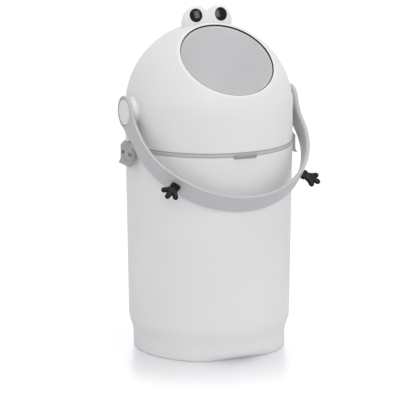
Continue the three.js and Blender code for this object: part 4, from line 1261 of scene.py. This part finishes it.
def build_pins(made):
    """The hinge pin and the latches' pins, with softened ends."""
    low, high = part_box("hinge_pin")
    pin = rod("hinge_rod", made.hinge.pin_radius, low.x, high.x, "X", PIN_SIDES, 0.5 * MM)
    finished(moved(pin, AT_HINGE), "bin", "steel", ["hinge_pin"])
    reach = made.latch.width / 2 - 1.8 * MM
    for name, side in SIDES.items():
        pin = rod(f"{name}_latch_rod", made.latch.pin_radius, -reach, reach, "Y", PIN_SIDES, 0.4 * MM)
        moved(pin, AT_LATCH, SIDE_TURNS[side])
        finished(pin, "head", "steel", [f"{name}_latch_pin"])


# Operators

def settings(context):
    return context.scene.nappy_bin


class BinPiece:
    bl_options = {"REGISTER", "UNDO"}


class NAPPYBIN_OT_finishes(BinPiece, Operator):
    """Make the finishes and give them to the pieces that keep their frame's shape"""
    bl_idname = "nappybin.finishes"
    bl_label = "Finishes"

    def execute(self, context):
        look = settings(context).finish
        moulded("white_plastic", look.white, look.satin, look.grain, 0.012 * MM)
        moulded("bump_plastic", look.white, look.satin, 1.5 * MM, 0.05 * MM)
        moulded("grey_plastic", look.grey, look.satin - 0.1, look.grain, 0.012 * MM)
        # The latch plastic is also the ring tab's painted shade.
        moulded("latch_plastic", look.latch, look.satin - 0.12, look.grain, 0.012 * MM)
        moulded("bowl_plastic", look.bowl, look.satin - 0.06, look.grain, 0.008 * MM)
        polished("black_plastic", look.black, 0.07, 0.002 * MM)
        rubbery("black_rubber", look.rubber, 0.24, 0.6 * MM, 0.02 * MM)
        rubbery("seal_rubber", look.seal, 0.6, 0.5 * MM, 0.02 * MM)
        moulded("acetal", look.bearing, 0.3, look.grain, 0.006 * MM)
        turned_steel("steel", look.steel)
        for part in frame["record"]["subparts"]:
            node = frame["nodes"][part["node"]]
            node.data.materials.clear()
            node.data.materials.append(look_of(part["material_slot"]))
        return {"FINISHED"}


class NAPPYBIN_OT_body(BinPiece, Operator):
    """Build the bin's body with its toe recess, hinge knuckles and latch ledges"""
    bl_idname = "nappybin.body"
    bl_label = "Body"

    def execute(self, context):
        build_body(settings(context))
        return {"FINISHED"}


class NAPPYBIN_OT_ring(BinPiece, Operator):
    """Build the grey bag ring with its skirt and front tab"""
    bl_idname = "nappybin.ring"
    bl_label = "Bag Ring"

    def execute(self, context):
        build_ring(settings(context))
        return {"FINISHED"}


class NAPPYBIN_OT_feet(BinPiece, Operator):
    """Build the rubber foot pads"""
    bl_idname = "nappybin.feet"
    bl_label = "Feet"

    def execute(self, context):
        build_feet(settings(context))
        return {"FINISHED"}


class NAPPYBIN_OT_head(BinPiece, Operator):
    """Build the domed head with its mouth, bosses, knuckle and latch lugs"""
    bl_idname = "nappybin.head"
    bl_label = "Head"

    def execute(self, context):
        build_head(settings(context))
        return {"FINISHED"}


class NAPPYBIN_OT_drum(BinPiece, Operator):
    """Build the turning drum and its bowl"""
    bl_idname = "nappybin.drum"
    bl_label = "Drum"

    def execute(self, context):
        build_drum(settings(context))
        return {"FINISHED"}


class NAPPYBIN_OT_seals(BinPiece, Operator):
    """Build the mouth's gasket, the drum's wiper and the ring that holds it"""
    bl_idname = "nappybin.seals"
    bl_label = "Seals"

    def execute(self, context):
        build_seals(settings(context))
        return {"FINISHED"}


class NAPPYBIN_OT_handle(BinPiece, Operator):
    """Build the bow handle with its hubs and caps"""
    bl_idname = "nappybin.handle"
    bl_label = "Handle"

    def execute(self, context):
        build_handle(settings(context))
        return {"FINISHED"}


class NAPPYBIN_OT_hands(BinPiece, Operator):
    """Build the two rubber hands on the handle"""
    bl_idname = "nappybin.hands"
    bl_label = "Hands"

    def execute(self, context):
        for name, side in SIDES.items():
            build_hand(settings(context), name, side)
        return {"FINISHED"}


class NAPPYBIN_OT_eyes(BinPiece, Operator):
    """Build the eye bumps and the glossy eyes"""
    bl_idname = "nappybin.eyes"
    bl_label = "Eyes"

    def execute(self, context):
        build_eyes(settings(context))
        return {"FINISHED"}


class NAPPYBIN_OT_latches(BinPiece, Operator):
    """Build the side latches"""
    bl_idname = "nappybin.latches"
    bl_label = "Latches"

    def execute(self, context):
        for name, side in SIDES.items():
            build_latch(settings(context), name, side)
        return {"FINISHED"}


class NAPPYBIN_OT_pins(BinPiece, Operator):
    """Build the hinge pin and the latch pins"""
    bl_idname = "nappybin.pins"
    bl_label = "Pins"

    def execute(self, context):
        build_pins(settings(context))
        return {"FINISHED"}


def add_lamp(name, place, size, power):
    """A soft square lamp that shines on the middle of the bin."""
    lamp = bpy.data.lights.new(name, "AREA")
    lamp.shape = "RECTANGLE"
    lamp.size, lamp.size_y = size
    lamp.energy = power
    holder = add_object(name, lamp)
    holder.location = place
    aim = Vector((0, 0, 0.3)) - Vector(place)
    holder.rotation_euler = aim.to_track_quat("-Z", "Y").to_euler()


def maths(tree, operation, first, second):
    return add_node(tree, "ShaderNodeMath", {0: first, 1: second}, operation=operation).outputs["Value"]


def mixed(tree, share, first, second):
    return add_node(tree, "ShaderNodeMixShader", {"Fac": share, 1: first, 2: second}).outputs["Shader"]


def build_world(sky):
    """Even light from all round, which the camera, gloss and glass see as white."""
    world = bpy.data.worlds.new("Even light")
    bpy.context.scene.world = world
    world.use_nodes = True
    tree = world.node_tree
    even = fill(tree, tree.nodes["Background"], {"Color": (0.985, 0.985, 1, 1), "Strength": sky})
    white = add_node(tree, "ShaderNodeBackground", {"Color": (1, 1, 1, 1), "Strength": 1})
    path = add_node(tree, "ShaderNodeLightPath").outputs
    seen = maths(tree, "MAXIMUM", path["Is Camera Ray"], path["Is Glossy Ray"])
    seen = maths(tree, "MAXIMUM", seen, path["Is Transmission Ray"])
    light = mixed(tree, seen, even.outputs["Background"], white.outputs["Background"])
    fill(tree, tree.nodes["World Output"], {"Surface": light})


def mirror_share(tree, strongest, start, reach):
    """How strongly the floor mirrors: most at the bin's foot, and nothing at the reach."""
    place = add_node(tree, "ShaderNodeTexCoord").outputs["Object"]
    away = add_node(tree, "ShaderNodeVectorMath", {0: place}, operation="LENGTH")
    return add_node(tree, "ShaderNodeMapRange", {
        "Value": away.outputs["Value"], "From Min": start, "From Max": reach,
        "To Min": strongest, "To Max": 0}, interpolation_type="SMOOTHSTEP").outputs["Result"]


def build_floor(stage):
    """A white floor that takes the bin's shadow and a mirror image that fades away from its foot."""
    half, thick = FLOOR_WIDTH / 2, 0.02
    floor = prism("floor", [(-half, -thick), (half, -thick), (half, 0), (-half, 0)], -half, half, "Y")
    material, tree, shader = new_material("pale_floor")
    fill(tree, shader, {"Base Color": (*stage.floor, 1), "Roughness": 0.6, "Specular IOR Level": 0.2})
    glow = add_node(tree, "ShaderNodeEmission", {"Strength": stage.glow})
    gloss = add_node(tree, "ShaderNodeBsdfGlossy", {"Roughness": 0.28, "Color": (0.985, 0.98, 1, 1)})
    seen = add_node(tree, "ShaderNodeLightPath").outputs["Is Camera Ray"]
    pale = mixed(tree, maths(tree, "MULTIPLY", seen, stage.floor_glow),
                 shader.outputs["BSDF"], glow.outputs["Emission"])
    share = mirror_share(tree, stage.mirror, 0.1, stage.mirror_reach)
    mirrored = mixed(tree, maths(tree, "MULTIPLY", seen, share), pale, gloss.outputs["BSDF"])
    fill(tree, tree.nodes["Material Output"], {"Surface": mirrored})
    floor.data.materials.append(material)


class NAPPYBIN_OT_stage(BinPiece, Operator):
    """Set up the floor, the soft studio light and the camera"""
    bl_idname = "nappybin.stage"
    bl_label = "Stage"

    def execute(self, context):
        stage = settings(context).stage
        build_world(stage.sky)
        build_floor(stage)
        add_lamp("top_lamp", (0.25, -0.4, 2.45), (1.0, 1.0), stage.top)
        add_lamp("front_lamp", (1.225, -2.739, 1.54), (0.35, 0.45), stage.front)
        add_lamp("low_lamp", (2.2, -1.6, 0.4), (0.9, 0.6), stage.low)
        add_lamp("wide_lamp", (-1.3, -2.8, 1.6), (1.4, 1.2), stage.wide)
        camera = bpy.data.cameras.new("camera")
        camera.lens, camera.sensor_width, camera.shift_x = stage.lens, 36, stage.shift
        holder = add_object("camera", camera)
        away = stage.distance
        holder.location = (-away * math.sin(stage.turn), -away * math.cos(stage.turn), stage.height)
        level = math.cos(stage.pitch)
        ahead = Vector((math.sin(stage.turn) * level, math.cos(stage.turn) * level,
                        -math.sin(stage.pitch)))
        holder.rotation_euler = ahead.to_track_quat("-Z", "Y").to_euler()
        context.scene.camera = holder
        context.scene.view_settings.view_transform = "Standard"
        return {"FINISHED"}


PIECES = (
    NAPPYBIN_OT_finishes, NAPPYBIN_OT_body, NAPPYBIN_OT_ring, NAPPYBIN_OT_feet,
    NAPPYBIN_OT_head, NAPPYBIN_OT_drum, NAPPYBIN_OT_seals, NAPPYBIN_OT_handle,
    NAPPYBIN_OT_hands, NAPPYBIN_OT_eyes, NAPPYBIN_OT_latches, NAPPYBIN_OT_pins,
    NAPPYBIN_OT_stage,
)


class BinSettings(PropertyGroup):
    """All the sizes, colours and lights of the nappy bin."""
    body: PointerProperty(type=BodySizes)
    hinge: PointerProperty(type=HingeSizes)
    head: PointerProperty(type=HeadSizes)
    handle: PointerProperty(type=HandleSizes)
    eyes: PointerProperty(type=EyeSizes)
    latch: PointerProperty(type=LatchSizes)
    finish: PointerProperty(type=FinishSettings)
    stage: PointerProperty(type=StageSettings)


class NAPPYBIN_PT_panel(Panel):
    """Lists the bin's sizes and the operators that build its pieces"""
    bl_idname = "NAPPYBIN_PT_panel"
    bl_label = "Nappy Bin"
    bl_space_type = "VIEW_3D"
    bl_region_type = "UI"
    bl_category = "Nappy Bin"

    def draw(self, context):
        for piece in PIECES:
            self.layout.operator(piece.bl_idname)
        made = settings(context)
        for group in (made.body, made.hinge, made.head, made.handle, made.eyes, made.latch,
                      made.finish, made.stage):
            box_layout = self.layout.box()
            for key in group.__annotations__:
                box_layout.prop(group, key)


CLASSES = (
    BodySizes, HingeSizes, HeadSizes, HandleSizes, EyeSizes, LatchSizes, FinishSettings,
    StageSettings, BinSettings, *PIECES, NAPPYBIN_PT_panel,
)


def register():
    for cls in CLASSES:
        bpy.utils.register_class(cls)
    bpy.types.Scene.nappy_bin = PointerProperty(type=BinSettings)


def unregister():
    del bpy.types.Scene.nappy_bin
    for cls in reversed(CLASSES):
        bpy.utils.unregister_class(cls)


def main():
    register()
    for piece in PIECES:
        group, name = piece.bl_idname.split(".")
        getattr(getattr(bpy.ops, group), name)()


if __name__ == "__main__":
    main()
